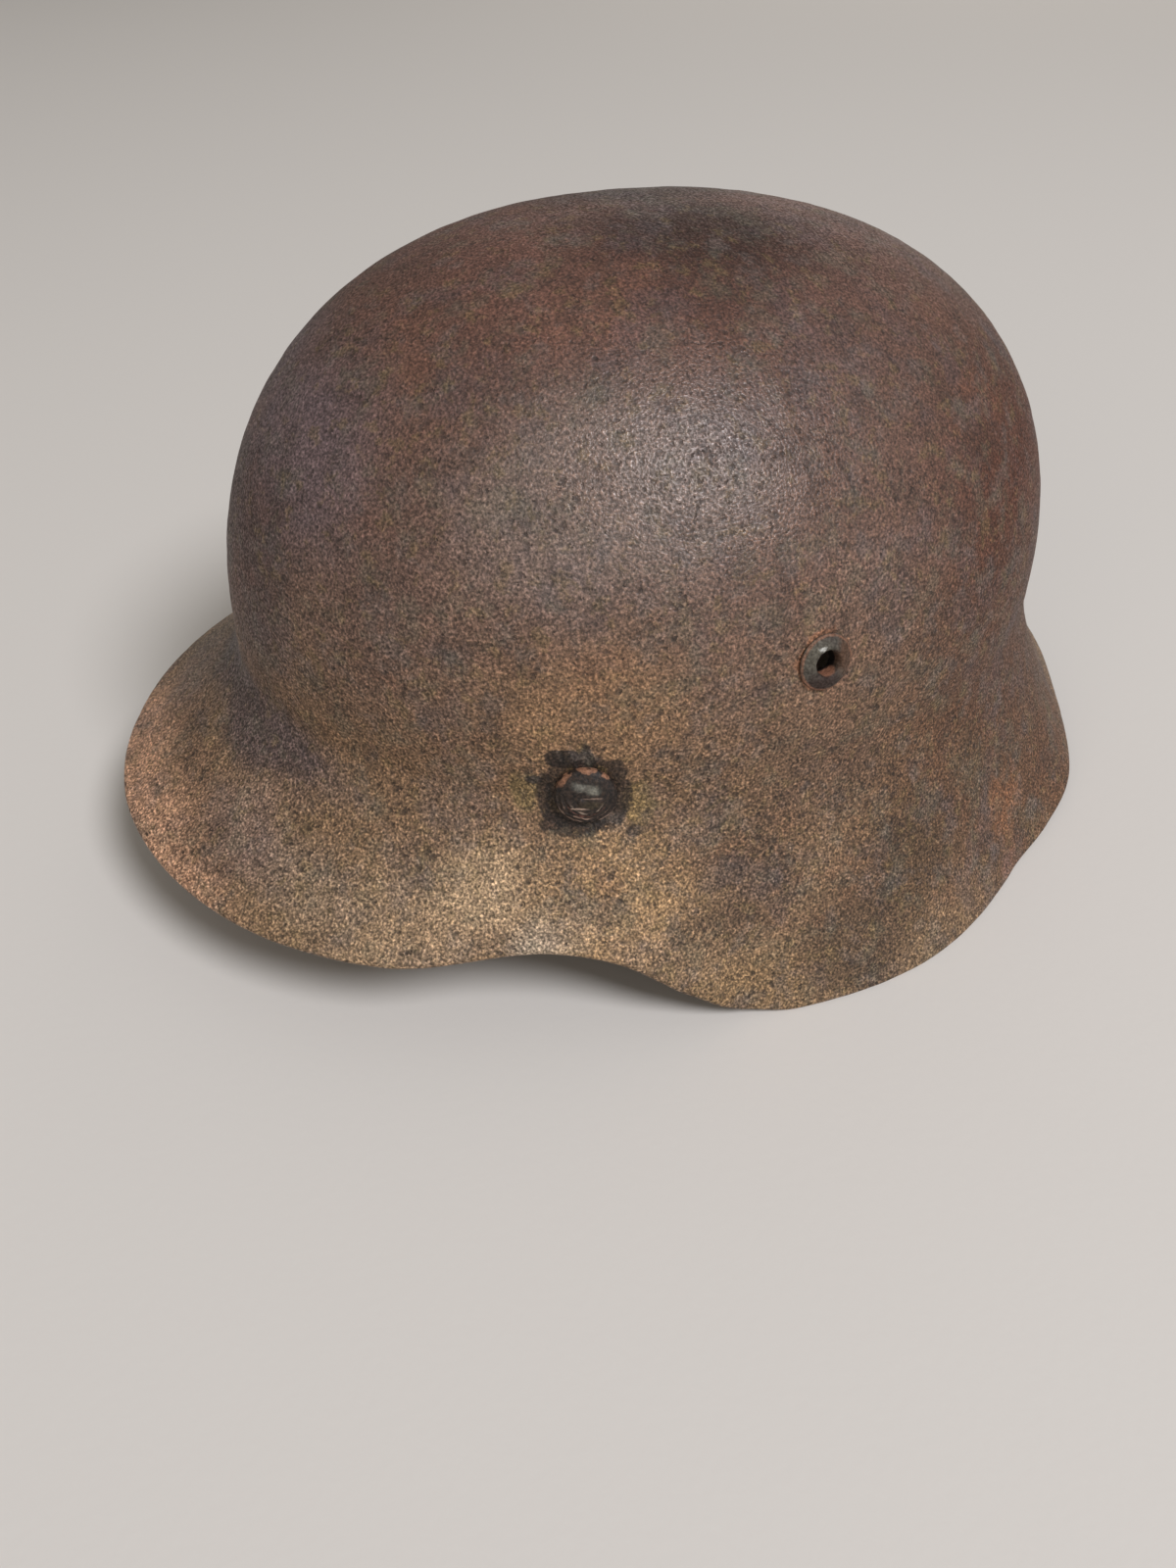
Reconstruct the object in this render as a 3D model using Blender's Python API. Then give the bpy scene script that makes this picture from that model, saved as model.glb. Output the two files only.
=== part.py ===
"""Pressed steel combat helmet: one sheet shell with a rolled hem, two air bushings and three split pins.

Metres, +Z up.  The visor faces -Y and the wearer's left is +X.  The helmet stands on Z = 0, on the
lower edges of its side skirts, and the origin lies under the middle of its length.

Bearings are in degrees round the helmet: 0 is the middle of the visor, 90 the wearer's left side and
180 the middle of the neck guard.  The right side mirrors the left.
"""

import math
from collections import namedtuple

import bpy
from mathutils import Matrix, Vector

# Dome, measured on the outside of the sheet
HEIGHT = 0.155
WAIST_HEIGHT = 0.060
DOME_FRONT = 0.1055
DOME_REAR = 0.116
DOME_HALF_WIDTH = 0.089
CROWN_LEAN = 0.003

# How far the flared edge stands out beyond the dome, and how high it lies above the floor
VISOR_REACH = 0.036
SKIRT_REACH = 0.0225
NECK_REACH = 0.0255
VISOR_LIFT = 0.026
NECK_LIFT = 0.013

# Sheet and rolled hem
WALL = 0.0012
HEM_RADIUS = 0.0015
HEM_LEG = 0.0045
STAND_WEAR = 0.0002

# Running clearance between a fitting and the sheet
SEAT_GAP = 0.0003

# Air bushing
VENT_BEARING = 94.0
VENT_HEIGHT = 0.0855
VENT_BORE_RADIUS = 0.0029
VENT_TUBE_WALL = 0.0007
VENT_FLANGE_RADIUS = 0.0062
VENT_FLANGE_RISE = 0.0014
VENT_INNER_FLANGE_RADIUS = 0.0050
VENT_INNER_FLANGE_THICKNESS = 0.0006

# The bushing's outer face: shares of the flange's width beyond the tube, and of its rise
FlangeRing = namedtuple("FlangeRing", "width rise")
FLANGE_RINGS = [
    FlangeRing(1.00, 0.00),
    FlangeRing(1.00, 0.35),
    FlangeRing(0.80, 0.80),
    FlangeRing(0.50, 1.00),
    FlangeRing(0.20, 0.88),
]
VENT_MOUTH_FLARE = 0.3
VENT_MOUTH_RISE = 0.40

# Split pin of the liner
PIN_BEARING = 60.0
PIN_HEIGHT = 0.0605
PIN_HEAD_RADIUS = 0.0070
PIN_HEAD_RISE = 0.0031
PIN_HEAD_EDGE = 0.0006
PIN_SHANK_RADIUS = 0.0023
PIN_LEG_REACH = 0.0130
PIN_LEG_WIDTH = 0.0042
PIN_LEG_THICKNESS = 0.0010
PIN_KNUCKLE = 0.0004
PIN_LEG_TIP = 0.6
PIN_HEAD_TURNS = (0.16, 0.38, 0.60, 0.80, 1.00)

# Superellipse exponents: the dome's plan, and its outline as seen at the front, side and rear
PLAN_FULLNESS = 1.9
Fullness = namedtuple("Fullness", "front side rear")
OUTLINE_FULLNESS = Fullness(front=2.33, side=2.14, rear=2.36)

# The flared edge.  Reach is the sum of the visor, skirt and neck shares of the three reaches.  Lift is
# the sum of the visor and neck shares of the two lifts.  Corner is the height at which the edge's slope
# would meet the dome's wall, as a share of the drop below the waist, and tightness is how far
# the sheet's curve follows the wall and the slope towards that corner.
EdgeSection = namedtuple("EdgeSection", "bearing visor skirt neck visor_lift neck_lift corner tightness")
EDGE_SECTIONS = [
    EdgeSection(0, 1.00, 0.00, 0.00, 1.00, 0.00, 0.58, 0.62),
    EdgeSection(20, 0.92, 0.07, 0.00, 0.98, 0.00, 0.58, 0.62),
    EdgeSection(40, 0.60, 0.35, 0.00, 1.00, 0.00, 0.60, 0.60),
    EdgeSection(55, 0.20, 0.58, 0.00, 1.10, 0.00, 0.66, 0.58),
    EdgeSection(65, 0.04, 0.74, 0.00, 0.92, 0.00, 0.70, 0.56),
    EdgeSection(75, 0.00, 0.85, 0.00, 0.44, 0.00, 0.72, 0.55),
    EdgeSection(82, 0.00, 0.82, 0.00, 0.10, 0.00, 0.74, 0.55),
    EdgeSection(89, 0.00, 0.90, 0.00, 0.00, 0.00, 0.75, 0.55),
    EdgeSection(110, 0.00, 1.06, 0.00, 0.00, 0.00, 0.75, 0.55),
    EdgeSection(130, 0.00, 0.82, 0.12, 0.00, 0.00, 0.70, 0.55),
    EdgeSection(140, 0.00, 0.55, 0.45, 0.00, 0.09, 0.67, 0.55),
    EdgeSection(150, 0.00, 0.30, 0.76, 0.00, 0.26, 0.64, 0.56),
    EdgeSection(165, 0.00, 0.08, 0.86, 0.00, 0.60, 0.62, 0.58),
    EdgeSection(180, 0.00, 0.00, 1.00, 0.00, 1.00, 0.62, 0.58),
]

# How finely the sheet is divided: bearings a coarse step apart, closer where the edge steps down
COARSE_STEP = 5
FINE_STEP = 3
FINE_FROM = 50
FINE_TO = 95
DOME_ROWS = 12
DOME_ROW_CROWDING = 1.25
FLARE_ROWS = 7
HEM_FACETS = 8
PIN_SIDES = 14
VENT_SIDES = 16
CUTTER_SIDES = 24
LEG_STATIONS = 8
SEAT_SAMPLES = 12
HEIGHT_SEARCH_STEPS = 40

# The origin lies under the middle of the length, so the dome's widest place is set off from it
DOME_CENTRE_Y = (DOME_FRONT + VISOR_REACH - DOME_REAR - NECK_REACH) / 2.0

SMALL_STEP = 1e-4
CREASE_ANGLE = math.radians(40.0)


def smooth_through(nodes, values, place):
    """Value at a place on the smooth curve through the nodes, which never swings past their values."""
    gaps = [b - a for a, b in zip(nodes, nodes[1:])]
    rises = [(b - a) / gap for a, b, gap in zip(values, values[1:], gaps)]
    slopes = [0.0]
    for before, after in zip(rises, rises[1:]):
        slopes.append(0.0 if before * after <= 0.0 else 2.0 * before * after / (before + after))
    slopes.append(0.0)
    span = max(i for i in range(len(gaps)) if i == 0 or nodes[i] <= place)
    t = (place - nodes[span]) / gaps[span]
    start = (1.0 + 2.0 * t) * (1.0 - t) ** 2
    end = t * t * (3.0 - 2.0 * t)
    start_slope = t * (1.0 - t) ** 2 * gaps[span]
    end_slope = -t * t * (1.0 - t) * gaps[span]
    return (start * values[span] + end * values[span + 1]
            + start_slope * slopes[span] + end_slope * slopes[span + 1])


def edge_value(column, bearing):
    """One column of the edge table at any bearing, on either side of the helmet."""
    nodes = [section.bearing for section in EDGE_SECTIONS]
    values = [getattr(section, column) for section in EDGE_SECTIONS]
    folded = abs((bearing + 180.0) % 360.0 - 180.0)
    return smooth_through(nodes, values, folded)


def edge_reach(bearing):
    return (edge_value("visor", bearing) * VISOR_REACH
            + edge_value("skirt", bearing) * SKIRT_REACH
            + edge_value("neck", bearing) * NECK_REACH)


def edge_lift(bearing):
    return edge_value("visor_lift", bearing) * VISOR_LIFT + edge_value("neck_lift", bearing) * NECK_LIFT


def oval_radius(bearing):
    """Plan radius of the dome at its waist."""
    angle = math.radians(bearing)
    length = DOME_FRONT if math.cos(angle) > 0.0 else DOME_REAR
    across = abs(math.sin(angle)) / DOME_HALF_WIDTH
    along = abs(math.cos(angle)) / length
    return (across ** PLAN_FULLNESS + along ** PLAN_FULLNESS) ** (-1.0 / PLAN_FULLNESS)


def outline_exponent(bearing):
    """Superellipse exponent of the dome's outline in the plane of one bearing."""
    angle = math.radians(bearing)
    end = OUTLINE_FULLNESS.front if math.cos(angle) > 0.0 else OUTLINE_FULLNESS.rear
    return end * math.cos(angle) ** 2 + OUTLINE_FULLNESS.side * math.sin(angle) ** 2


def place_at(bearing, radius, height):
    angle = math.radians(bearing)
    return Vector((radius * math.sin(angle), DOME_CENTRE_Y - radius * math.cos(angle), height))


def dome_point(bearing, climb):
    """Outer surface above the waist.  Climb runs from 0 at the waist to 1 at the crown."""
    angle = climb * math.pi / 2.0
    power = 2.0 / outline_exponent(bearing)
    rise = math.sin(angle) ** power
    point = place_at(bearing, oval_radius(bearing) * max(math.cos(angle), 0.0) ** power,
                     WAIST_HEIGHT + (HEIGHT - WAIST_HEIGHT) * rise)
    point.y -= CROWN_LEAN * rise ** 2
    return point


def flare_point(bearing, descent):
    """Outer surface below the waist.  Descent runs from 0 at the waist to 1 where the hem rolls in."""
    wall = oval_radius(bearing)
    roll = Vector((wall + edge_reach(bearing) - HEM_RADIUS,
                   edge_lift(bearing) + HEM_RADIUS - STAND_WEAR))
    waist = Vector((wall, WAIST_HEIGHT))
    corner = Vector((wall, roll.y + edge_value("corner", bearing) * (WAIST_HEIGHT - roll.y)))
    slope = (roll - corner).normalized()
    edge = roll + HEM_RADIUS * Vector((-slope.y, slope.x))
    tightness = edge_value("tightness", bearing)
    upper = waist.lerp(corner, tightness)
    lower = edge - slope * tightness * (roll - corner).length
    rest = 1.0 - descent
    point = (waist * rest ** 3 + upper * 3.0 * rest ** 2 * descent
             + lower * 3.0 * rest * descent ** 2 + edge * descent ** 3)
    return place_at(bearing, point.x, point.y)


def sheet_point(bearing, travel):
    """Outer surface from the crown at -1, over the waist at 0, to the hem at 1."""
    if travel < 0.0:
        return dome_point(bearing, -travel)
    return flare_point(bearing, travel)


def sheet_frame(bearing, travel):
    """Outward normal of the outer surface, and the direction round the helmet."""
    if travel <= -1.0:
        return Vector((0.0, 0.0, 1.0)), Vector((1.0, 0.0, 0.0))
    turn = math.degrees(SMALL_STEP)
    round_about = sheet_point(bearing + turn, travel) - sheet_point(bearing - turn, travel)
    downward = sheet_point(bearing, travel + SMALL_STEP) - sheet_point(bearing, travel - SMALL_STEP)
    return downward.cross(round_about).normalized(), round_about.normalized()


def sheet_offset(bearing, travel, depth):
    """A point the given depth inside the outer surface."""
    normal, _ = sheet_frame(bearing, travel)
    return sheet_point(bearing, travel) - normal * depth


def travel_at_height(bearing, height):
    """Where the outer surface passes a height at one bearing."""
    if height >= WAIST_HEIGHT:
        rise = min((height - WAIST_HEIGHT) / (HEIGHT - WAIST_HEIGHT), 1.0)
        return -math.asin(rise ** (outline_exponent(bearing) / 2.0)) * 2.0 / math.pi
    low, high = 0.0, 1.0
    for _ in range(HEIGHT_SEARCH_STEPS):
        middle = (low + high) / 2.0
        if sheet_point(bearing, middle).z > height:
            low = middle
        else:
            high = middle
    return low


def ring_bearings():
    """Bearings of the sheet's rings, the same on both sides."""
    left = list(range(0, FINE_FROM, COARSE_STEP))
    left += list(range(FINE_FROM, FINE_TO, FINE_STEP))
    left += list(range(FINE_TO, 180, COARSE_STEP))
    return left + [180] + [-bearing for bearing in reversed(left[1:])]


def leg_travel(bearing):
    """How far down the flare the hem's folded leg begins."""
    last_row = sheet_point(bearing, 1.0) - sheet_point(bearing, 1.0 - SMALL_STEP)
    return 1.0 - HEM_LEG * SMALL_STEP / last_row.length


def sheet_section(bearing):
    """Closed section of the sheet at one bearing: down the outside, round the hem and up the inside."""
    rows = [-((1.0 - i / DOME_ROWS) ** DOME_ROW_CROWDING) for i in range(1, DOME_ROWS + 1)]
    fold = leg_travel(bearing)
    rows += [fold * i / FLARE_ROWS for i in range(1, FLARE_ROWS + 1)]
    outer = [sheet_point(bearing, travel) for travel in rows]
    inner = [sheet_offset(bearing, travel, WALL) for travel in reversed(rows)]

    normal, round_about = sheet_frame(bearing, 1.0)
    outward = round_about.cross(normal)
    edge = sheet_point(bearing, 1.0)
    centre = edge - normal * HEM_RADIUS

    def roll(radius, turn):
        return centre + (normal * math.cos(turn) + outward * math.sin(turn)) * radius

    outer_roll = [roll(HEM_RADIUS, math.pi * i / HEM_FACETS) for i in range(HEM_FACETS + 1)]
    leg_inside = sheet_offset(bearing, fold, 2.0 * HEM_RADIUS)
    leg_tip = sheet_offset(bearing, fold, 2.0 * HEM_RADIUS - WALL)
    inner_roll = [roll(HEM_RADIUS - WALL, turn) for turn in (math.pi, math.pi / 2.0, 0.0)]
    return outer + outer_roll + [leg_inside, leg_tip] + inner_roll + inner


def material(name, colour, metallic, roughness):
    finish = bpy.data.materials.new(name)
    finish.use_nodes = True
    shader = finish.node_tree.nodes["Principled BSDF"]
    shader.inputs["Base Color"].default_value = (*colour, 1.0)
    shader.inputs["Metallic"].default_value = metallic
    shader.inputs["Roughness"].default_value = roughness
    finish.diffuse_color = (*colour, 1.0)
    return finish


def add_object(name, points, faces, parent, finish=None, placement=None):
    """A mesh object from points and faces, shaded smooth up to the crease angle."""
    mesh = bpy.data.meshes.new(name)
    mesh.from_pydata([tuple(point) for point in points], [], faces)
    mesh.validate()
    mesh.shade_smooth()
    mesh.set_sharp_from_angle(angle=CREASE_ANGLE)
    made = bpy.data.objects.new(name, mesh)
    bpy.context.collection.objects.link(made)
    made.parent = parent
    if placement is not None:
        made.location = placement.to_translation()
        made.rotation_euler = placement.to_euler()
    if finish is not None:
        mesh.materials.append(finish)
    return made


def hide_tool(tool):
    tool.hide_render = True
    tool.display_type = "WIRE"


def add_boolean(target, tool, operation):
    change = target.modifiers.new(tool.name, "BOOLEAN")
    change.operation = operation
    change.object = tool


def turned(profile, sides):
    """Points and faces of a closed ring turned about Z, from a closed profile of radius and height."""
    points = []
    for i in range(sides):
        angle = 2.0 * math.pi * i / sides
        points += [Vector((r * math.cos(angle), r * math.sin(angle), h)) for r, h in profile]
    count = len(profile)
    faces = []
    for i in range(sides):
        here, there = i * count, (i + 1) % sides * count
        for j in range(count):
            k = (j + 1) % count
            faces.append((here + j, there + j, there + k, here + k))
    return points, faces


def turned_solid(profile, sides):
    """Points and faces of a solid turned about Z, from an open profile whose ends are closed by flat caps."""
    angles = [2.0 * math.pi * i / sides for i in range(sides)]
    points = []
    for r, h in profile:
        points += [Vector((r * math.cos(angle), r * math.sin(angle), h)) for angle in angles]
    faces = [tuple(range(sides))]
    for j in range(len(profile) - 1):
        for i in range(sides):
            k = (i + 1) % sides
            faces.append((j * sides + i, (j + 1) * sides + i, (j + 1) * sides + k, j * sides + k))
    last = (len(profile) - 1) * sides
    faces.append(tuple(last + i for i in reversed(range(sides))))
    return points, faces


def seat(bearing, height, footprint):
    """Placement of a round fitting: its Z is the axis, and its Z = 0 plane just clears the sheet."""
    centre = sheet_point(bearing, travel_at_height(bearing, height))
    turn = math.degrees(footprint / math.hypot(centre.x, centre.y - DOME_CENTRE_Y))

    def sample(across, up):
        there = bearing + across * turn
        return sheet_point(there, travel_at_height(there, height + up * footprint))

    across = (sample(1.0, 0.0) - sample(-1.0, 0.0)).normalized()
    axis = across.cross(sample(0.0, 1.0) - sample(0.0, -1.0)).normalized()
    angles = [2.0 * math.pi * i / SEAT_SAMPLES for i in range(SEAT_SAMPLES)]
    reach = [(sample(math.cos(a), math.sin(a)) - centre).dot(axis) for a in angles]
    origin = centre + axis * (max(reach + [0.0]) + SEAT_GAP)
    frame = Matrix((across, axis.cross(across), axis)).transposed().to_4x4()
    return Matrix.Translation(origin) @ frame


def depth_behind(placement, bearing, height):
    """How far the sheet's inner surface lies behind a fitting's seat plane."""
    inside = sheet_offset(bearing, travel_at_height(bearing, height), WALL)
    return -(placement.inverted() @ inside).z


def add_hole(shell, name, placement, radius, parent):
    """A hole through the sheet along a fitting's axis."""
    length = 2.0 * (WALL + HEM_RADIUS) + radius
    points, faces = turned_solid([(radius, length), (radius, -length)], CUTTER_SIDES)
    cutter = add_object(name, points, faces, parent, placement=placement)
    hide_tool(cutter)
    add_boolean(shell, cutter, "DIFFERENCE")


def make_shell(parent, finish):
    bearings = ring_bearings()
    sections = [sheet_section(bearing) for bearing in bearings]
    rows = len(sections[0])
    points = [section[row] for row in range(rows) for section in sections]
    for point in points:
        point.z = max(point.z, 0.0)
    count = len(bearings)
    faces = []
    for row in range(rows - 1):
        for i in range(count):
            k = (i + 1) % count
            here, below = row * count, (row + 1) * count
            faces.append((here + i, below + i, below + k, here + k))
    crown = len(points)
    points.append(sheet_point(0.0, -1.0))
    points.append(sheet_offset(0.0, -1.0, WALL))
    last = (rows - 1) * count
    for i in range(count):
        k = (i + 1) % count
        faces.append((crown, i, k))
        faces.append((last + i, crown + 1, last + k))
    return add_object("helmet_shell", points, faces, parent, finish)


def add_vent(name, bearing, shell, parent, finish):
    """Air bushing: a raised ring, dished towards its bore, on a short tube with a turned-out inner lip."""
    placement = seat(bearing, VENT_HEIGHT, VENT_FLANGE_RADIUS)
    tube = VENT_BORE_RADIUS + VENT_TUBE_WALL
    lip_sag = VENT_INNER_FLANGE_RADIUS ** 2 / (2.0 * DOME_HALF_WIDTH)
    lip_top = -depth_behind(placement, bearing, VENT_HEIGHT) - SEAT_GAP - lip_sag
    lip_base = lip_top - VENT_INNER_FLANGE_THICKNESS
    flange = VENT_FLANGE_RADIUS - tube
    profile = [(tube + ring.width * flange, ring.rise * VENT_FLANGE_RISE) for ring in FLANGE_RINGS]
    profile += [
        (VENT_BORE_RADIUS + VENT_MOUTH_FLARE * VENT_TUBE_WALL, VENT_MOUTH_RISE * VENT_FLANGE_RISE),
        (VENT_BORE_RADIUS, 0.0),
        (VENT_BORE_RADIUS, lip_base),
        (VENT_INNER_FLANGE_RADIUS, lip_base),
        (VENT_INNER_FLANGE_RADIUS, lip_top),
        (tube, lip_top),
        (tube, 0.0),
    ]
    points, faces = turned(profile, VENT_SIDES)
    add_object(name, points, faces, parent, finish, placement)
    add_hole(shell, name + "_hole", placement, tube + SEAT_GAP, parent)


def leg_strip(bearing):
    """Points and faces of the pin's two legs, spread as one strip along the sheet's inside."""
    wall = oval_radius(bearing)
    near = WALL + SEAT_GAP
    far = near + PIN_LEG_THICKNESS
    points = []
    for i in range(LEG_STATIONS + 1):
        along = 2.0 * i / LEG_STATIONS - 1.0
        there = bearing + math.degrees(along * PIN_LEG_REACH / wall)
        half = PIN_LEG_WIDTH / 2.0 * (PIN_LEG_TIP if i in (0, LEG_STATIONS) else 1.0)
        for up, depth in ((half, near), (-half, near), (-half, far), (half, far)):
            height = PIN_HEIGHT + up
            points.append(sheet_offset(there, travel_at_height(there, height), depth))
    faces = [(0, 1, 2, 3)]
    for i in range(LEG_STATIONS):
        for j in range(4):
            k = (j + 1) % 4
            faces.append((4 * i + j, 4 * i + 4 + j, 4 * i + 4 + k, 4 * i + k))
    last = 4 * LEG_STATIONS
    faces.append((last + 3, last + 2, last + 1, last))
    return points, faces


def add_pin(name, bearing, shell, parent, finish):
    """Split pin: a domed head outside, a shank through the sheet and two legs bent flat inside."""
    placement = seat(bearing, PIN_HEIGHT, PIN_HEAD_RADIUS)
    tip = -depth_behind(placement, bearing, PIN_HEIGHT) - SEAT_GAP - PIN_LEG_THICKNESS - PIN_KNUCKLE
    dome = PIN_HEAD_RISE - PIN_HEAD_EDGE
    profile = [(PIN_HEAD_RADIUS * math.sin(turn), PIN_HEAD_EDGE + dome * math.cos(turn))
               for turn in (math.pi / 2.0 * share for share in PIN_HEAD_TURNS)]
    profile += [(PIN_HEAD_RADIUS, 0.0), (PIN_SHANK_RADIUS, 0.0), (PIN_SHANK_RADIUS, tip)]
    points, faces = turned_solid(profile, PIN_SIDES)
    pin = add_object(name, points, faces, parent, finish, placement)

    back = placement.inverted()
    points, faces = leg_strip(bearing)
    legs = add_object(name + "_legs", [back @ point for point in points], faces, parent, placement=placement)
    hide_tool(legs)
    add_boolean(pin, legs, "UNION")
    add_hole(shell, name + "_hole", placement, PIN_SHANK_RADIUS + SEAT_GAP, parent)


def main():
    for old in list(bpy.data.objects):
        bpy.data.objects.remove(old, do_unlink=True)

    helmet = bpy.data.objects.new("helmet", None)
    bpy.context.collection.objects.link(helmet)

    rusted_sheet = material("rusted_sheet_steel", (0.125, 0.075, 0.048), 0.1, 0.75)
    bushing_steel = material("worn_bushing_steel", (0.14, 0.15, 0.15), 0.6, 0.55)
    pin_steel = material("corroded_pin_steel", (0.055, 0.045, 0.040), 0.2, 0.70)

    shell = make_shell(helmet, rusted_sheet)
    add_vent("vent_bushing_left", VENT_BEARING, shell, helmet, bushing_steel)
    add_vent("vent_bushing_right", -VENT_BEARING, shell, helmet, bushing_steel)
    add_pin("liner_pin_left", PIN_BEARING, shell, helmet, pin_steel)
    add_pin("liner_pin_right", -PIN_BEARING, shell, helmet, pin_steel)
    add_pin("liner_pin_rear", 180.0, shell, helmet, pin_steel)


main()
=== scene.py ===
"""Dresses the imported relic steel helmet: rusted sheet, worn air bushings, corroded liner pins and a studio.

Metres, +Z up. The visor faces -Y and the wearer's left is +X. Bearings are in degrees round the helmet:
0 is the middle of the visor, 90 the wearer's left side and 180 the middle of the neck guard.
Travel runs down the sheet, from -1 at the crown over 0 at the waist to 1 at the hem.
"""

import math
from collections import namedtuple
from functools import partial

import bpy
import numpy as np
from mathutils import Matrix, Vector, noise


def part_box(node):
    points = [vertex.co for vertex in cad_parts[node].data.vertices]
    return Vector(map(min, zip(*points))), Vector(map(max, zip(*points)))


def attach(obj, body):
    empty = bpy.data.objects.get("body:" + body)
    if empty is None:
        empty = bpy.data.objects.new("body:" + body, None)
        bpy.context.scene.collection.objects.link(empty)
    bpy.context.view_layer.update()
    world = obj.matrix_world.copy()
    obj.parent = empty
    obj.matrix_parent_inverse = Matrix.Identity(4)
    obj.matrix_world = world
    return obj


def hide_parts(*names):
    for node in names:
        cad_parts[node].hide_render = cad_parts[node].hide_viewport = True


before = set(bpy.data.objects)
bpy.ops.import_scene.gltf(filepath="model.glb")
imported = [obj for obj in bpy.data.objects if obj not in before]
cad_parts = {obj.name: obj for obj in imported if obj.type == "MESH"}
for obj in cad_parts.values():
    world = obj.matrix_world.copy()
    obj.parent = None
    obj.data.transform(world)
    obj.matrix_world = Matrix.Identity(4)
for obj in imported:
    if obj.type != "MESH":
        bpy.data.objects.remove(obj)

bl_info = {
    "name": "Relic steel helmet",
    "version": (1, 0, 0),
    "blender": (4, 5, 0),
    "location": "View3D > Sidebar > Helmet",
    "description": "Builds the rusted sheet, bushings, liner pins and studio round the packed helmet",
    "category": "Object",
}

MM = 0.001

# The frame's own height of the sheet
SHELL_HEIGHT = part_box("helmet_shell")[1].z

# Superellipse exponents: the dome's plan, and its outline as seen at the front, side and rear
PLAN_FULLNESS = 1.9
Fullness = namedtuple("Fullness", "front side rear")
OUTLINE_FULLNESS = Fullness(front=2.33, side=2.14, rear=2.36)

# The flared edge. Reach is the sum of the visor, skirt and neck shares of the three reaches, and lift the
# sum of the visor and neck shares of the two lifts. Corner is the height at which the edge's slope would
# meet the dome's wall, as a share of the drop below the waist. Tightness is how closely the curve follows.
EdgeSection = namedtuple("EdgeSection", "bearing visor skirt neck visor_lift neck_lift corner tightness")
EDGE_SECTIONS = [
    EdgeSection(0, 1.00, 0.00, 0.00, 1.00, 0.00, 0.58, 0.62),
    EdgeSection(20, 0.92, 0.07, 0.00, 0.98, 0.00, 0.58, 0.62),
    EdgeSection(40, 0.60, 0.35, 0.00, 1.00, 0.00, 0.60, 0.60),
    EdgeSection(55, 0.20, 0.58, 0.00, 1.10, 0.00, 0.66, 0.58),
    EdgeSection(65, 0.04, 0.74, 0.00, 0.92, 0.00, 0.70, 0.56),
    EdgeSection(75, 0.00, 0.85, 0.00, 0.44, 0.00, 0.72, 0.55),
    EdgeSection(82, 0.00, 0.82, 0.00, 0.10, 0.00, 0.74, 0.55),
    EdgeSection(89, 0.00, 0.90, 0.00, 0.00, 0.00, 0.75, 0.55),
    EdgeSection(110, 0.00, 1.06, 0.00, 0.00, 0.00, 0.75, 0.55),
    EdgeSection(130, 0.00, 0.82, 0.12, 0.00, 0.00, 0.70, 0.55),
    EdgeSection(140, 0.00, 0.55, 0.45, 0.00, 0.09, 0.67, 0.55),
    EdgeSection(150, 0.00, 0.30, 0.76, 0.00, 0.26, 0.64, 0.56),
    EdgeSection(165, 0.00, 0.08, 0.86, 0.00, 0.60, 0.62, 0.58),
    EdgeSection(180, 0.00, 0.00, 1.00, 0.00, 1.00, 0.62, 0.58),
]

# How finely the sheet is divided
RING_POINTS = 480
OUTER_ROWS = 150
INNER_ROWS = 56
HEM_FACETS = 10
LEG_ROWS = 3
INNER_ROLL_FACETS = 4
SPACING_BEARING = 60.0
SPACING_SAMPLES = 2000
SMALL_TURN = 0.01
SMALL_TRAVEL = 1e-4
HEIGHT_SEARCH_STEPS = 40
SEAT_SAMPLES = 12
SEAT_GAP = 0.3 * MM
CREASE_ANGLE = math.radians(42.0)
CUTTER_SIDES = 72
MOST_THINNED = 16

# How far a hole's cutter reaches past its own radius, in hem radii
CUTTER_REACH = 4.0

# Relief left by the rust: width of a mark, and its depth below the sound surface
Relief = namedtuple("Relief", "width depth")
SCALE_PLATES = Relief(width=7.5 * MM, depth=0.10 * MM)
GRAIN_RELIEF = Relief(width=3.2 * MM, depth=0.10 * MM)
PIT_RELIEF = Relief(width=4.6 * MM, depth=0.22 * MM)

# How sharply the plates stand out, the share of cells that hold a pit, and the number that shuffles which
# ones do. Mouth is a pit's radius as a share of its cell's width, and steepness shapes its walls.
PLATE_CONTRAST = 1.6
PIT_SHARE = 0.42
PIT_SHUFFLE = 7.3
PIT_MOUTH = 0.42
PIT_STEEPNESS = 1.5


def linear(hex_colour):
    """An sRGB hex colour as the linear colour that the shaders use."""
    shares = [int(hex_colour[i:i + 2], 16) / 255.0 for i in (1, 3, 5)]
    return tuple(c / 12.92 if c <= 0.04045 else ((c + 0.055) / 1.055) ** 2.4 for c in shares)


def smooth_through(nodes, values, places):
    """Values at some places on the smooth curve through the nodes, which never swings past their values."""
    nodes = np.asarray(nodes, float)
    values = np.asarray(values, float)
    gaps = np.diff(nodes)
    rises = np.diff(values) / gaps
    before, after = rises[:-1], rises[1:]
    same_way = before * after > 0.0
    slopes = np.zeros(len(nodes))
    slopes[1:-1][same_way] = (2.0 * before * after)[same_way] / (before + after)[same_way]
    span = np.clip(np.searchsorted(nodes, places, side="right") - 1, 0, len(gaps) - 1)
    t = (places - nodes[span]) / gaps[span]
    end = t * t * (3.0 - 2.0 * t)
    start_slope = t * (1.0 - t) ** 2 * gaps[span]
    end_slope = -t * t * (1.0 - t) * gaps[span]
    return ((1.0 - end) * values[span] + end * values[span + 1]
            + start_slope * slopes[span] + end_slope * slopes[span + 1])


def unit(vectors):
    return vectors / np.linalg.norm(vectors, axis=-1, keepdims=True)


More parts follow.
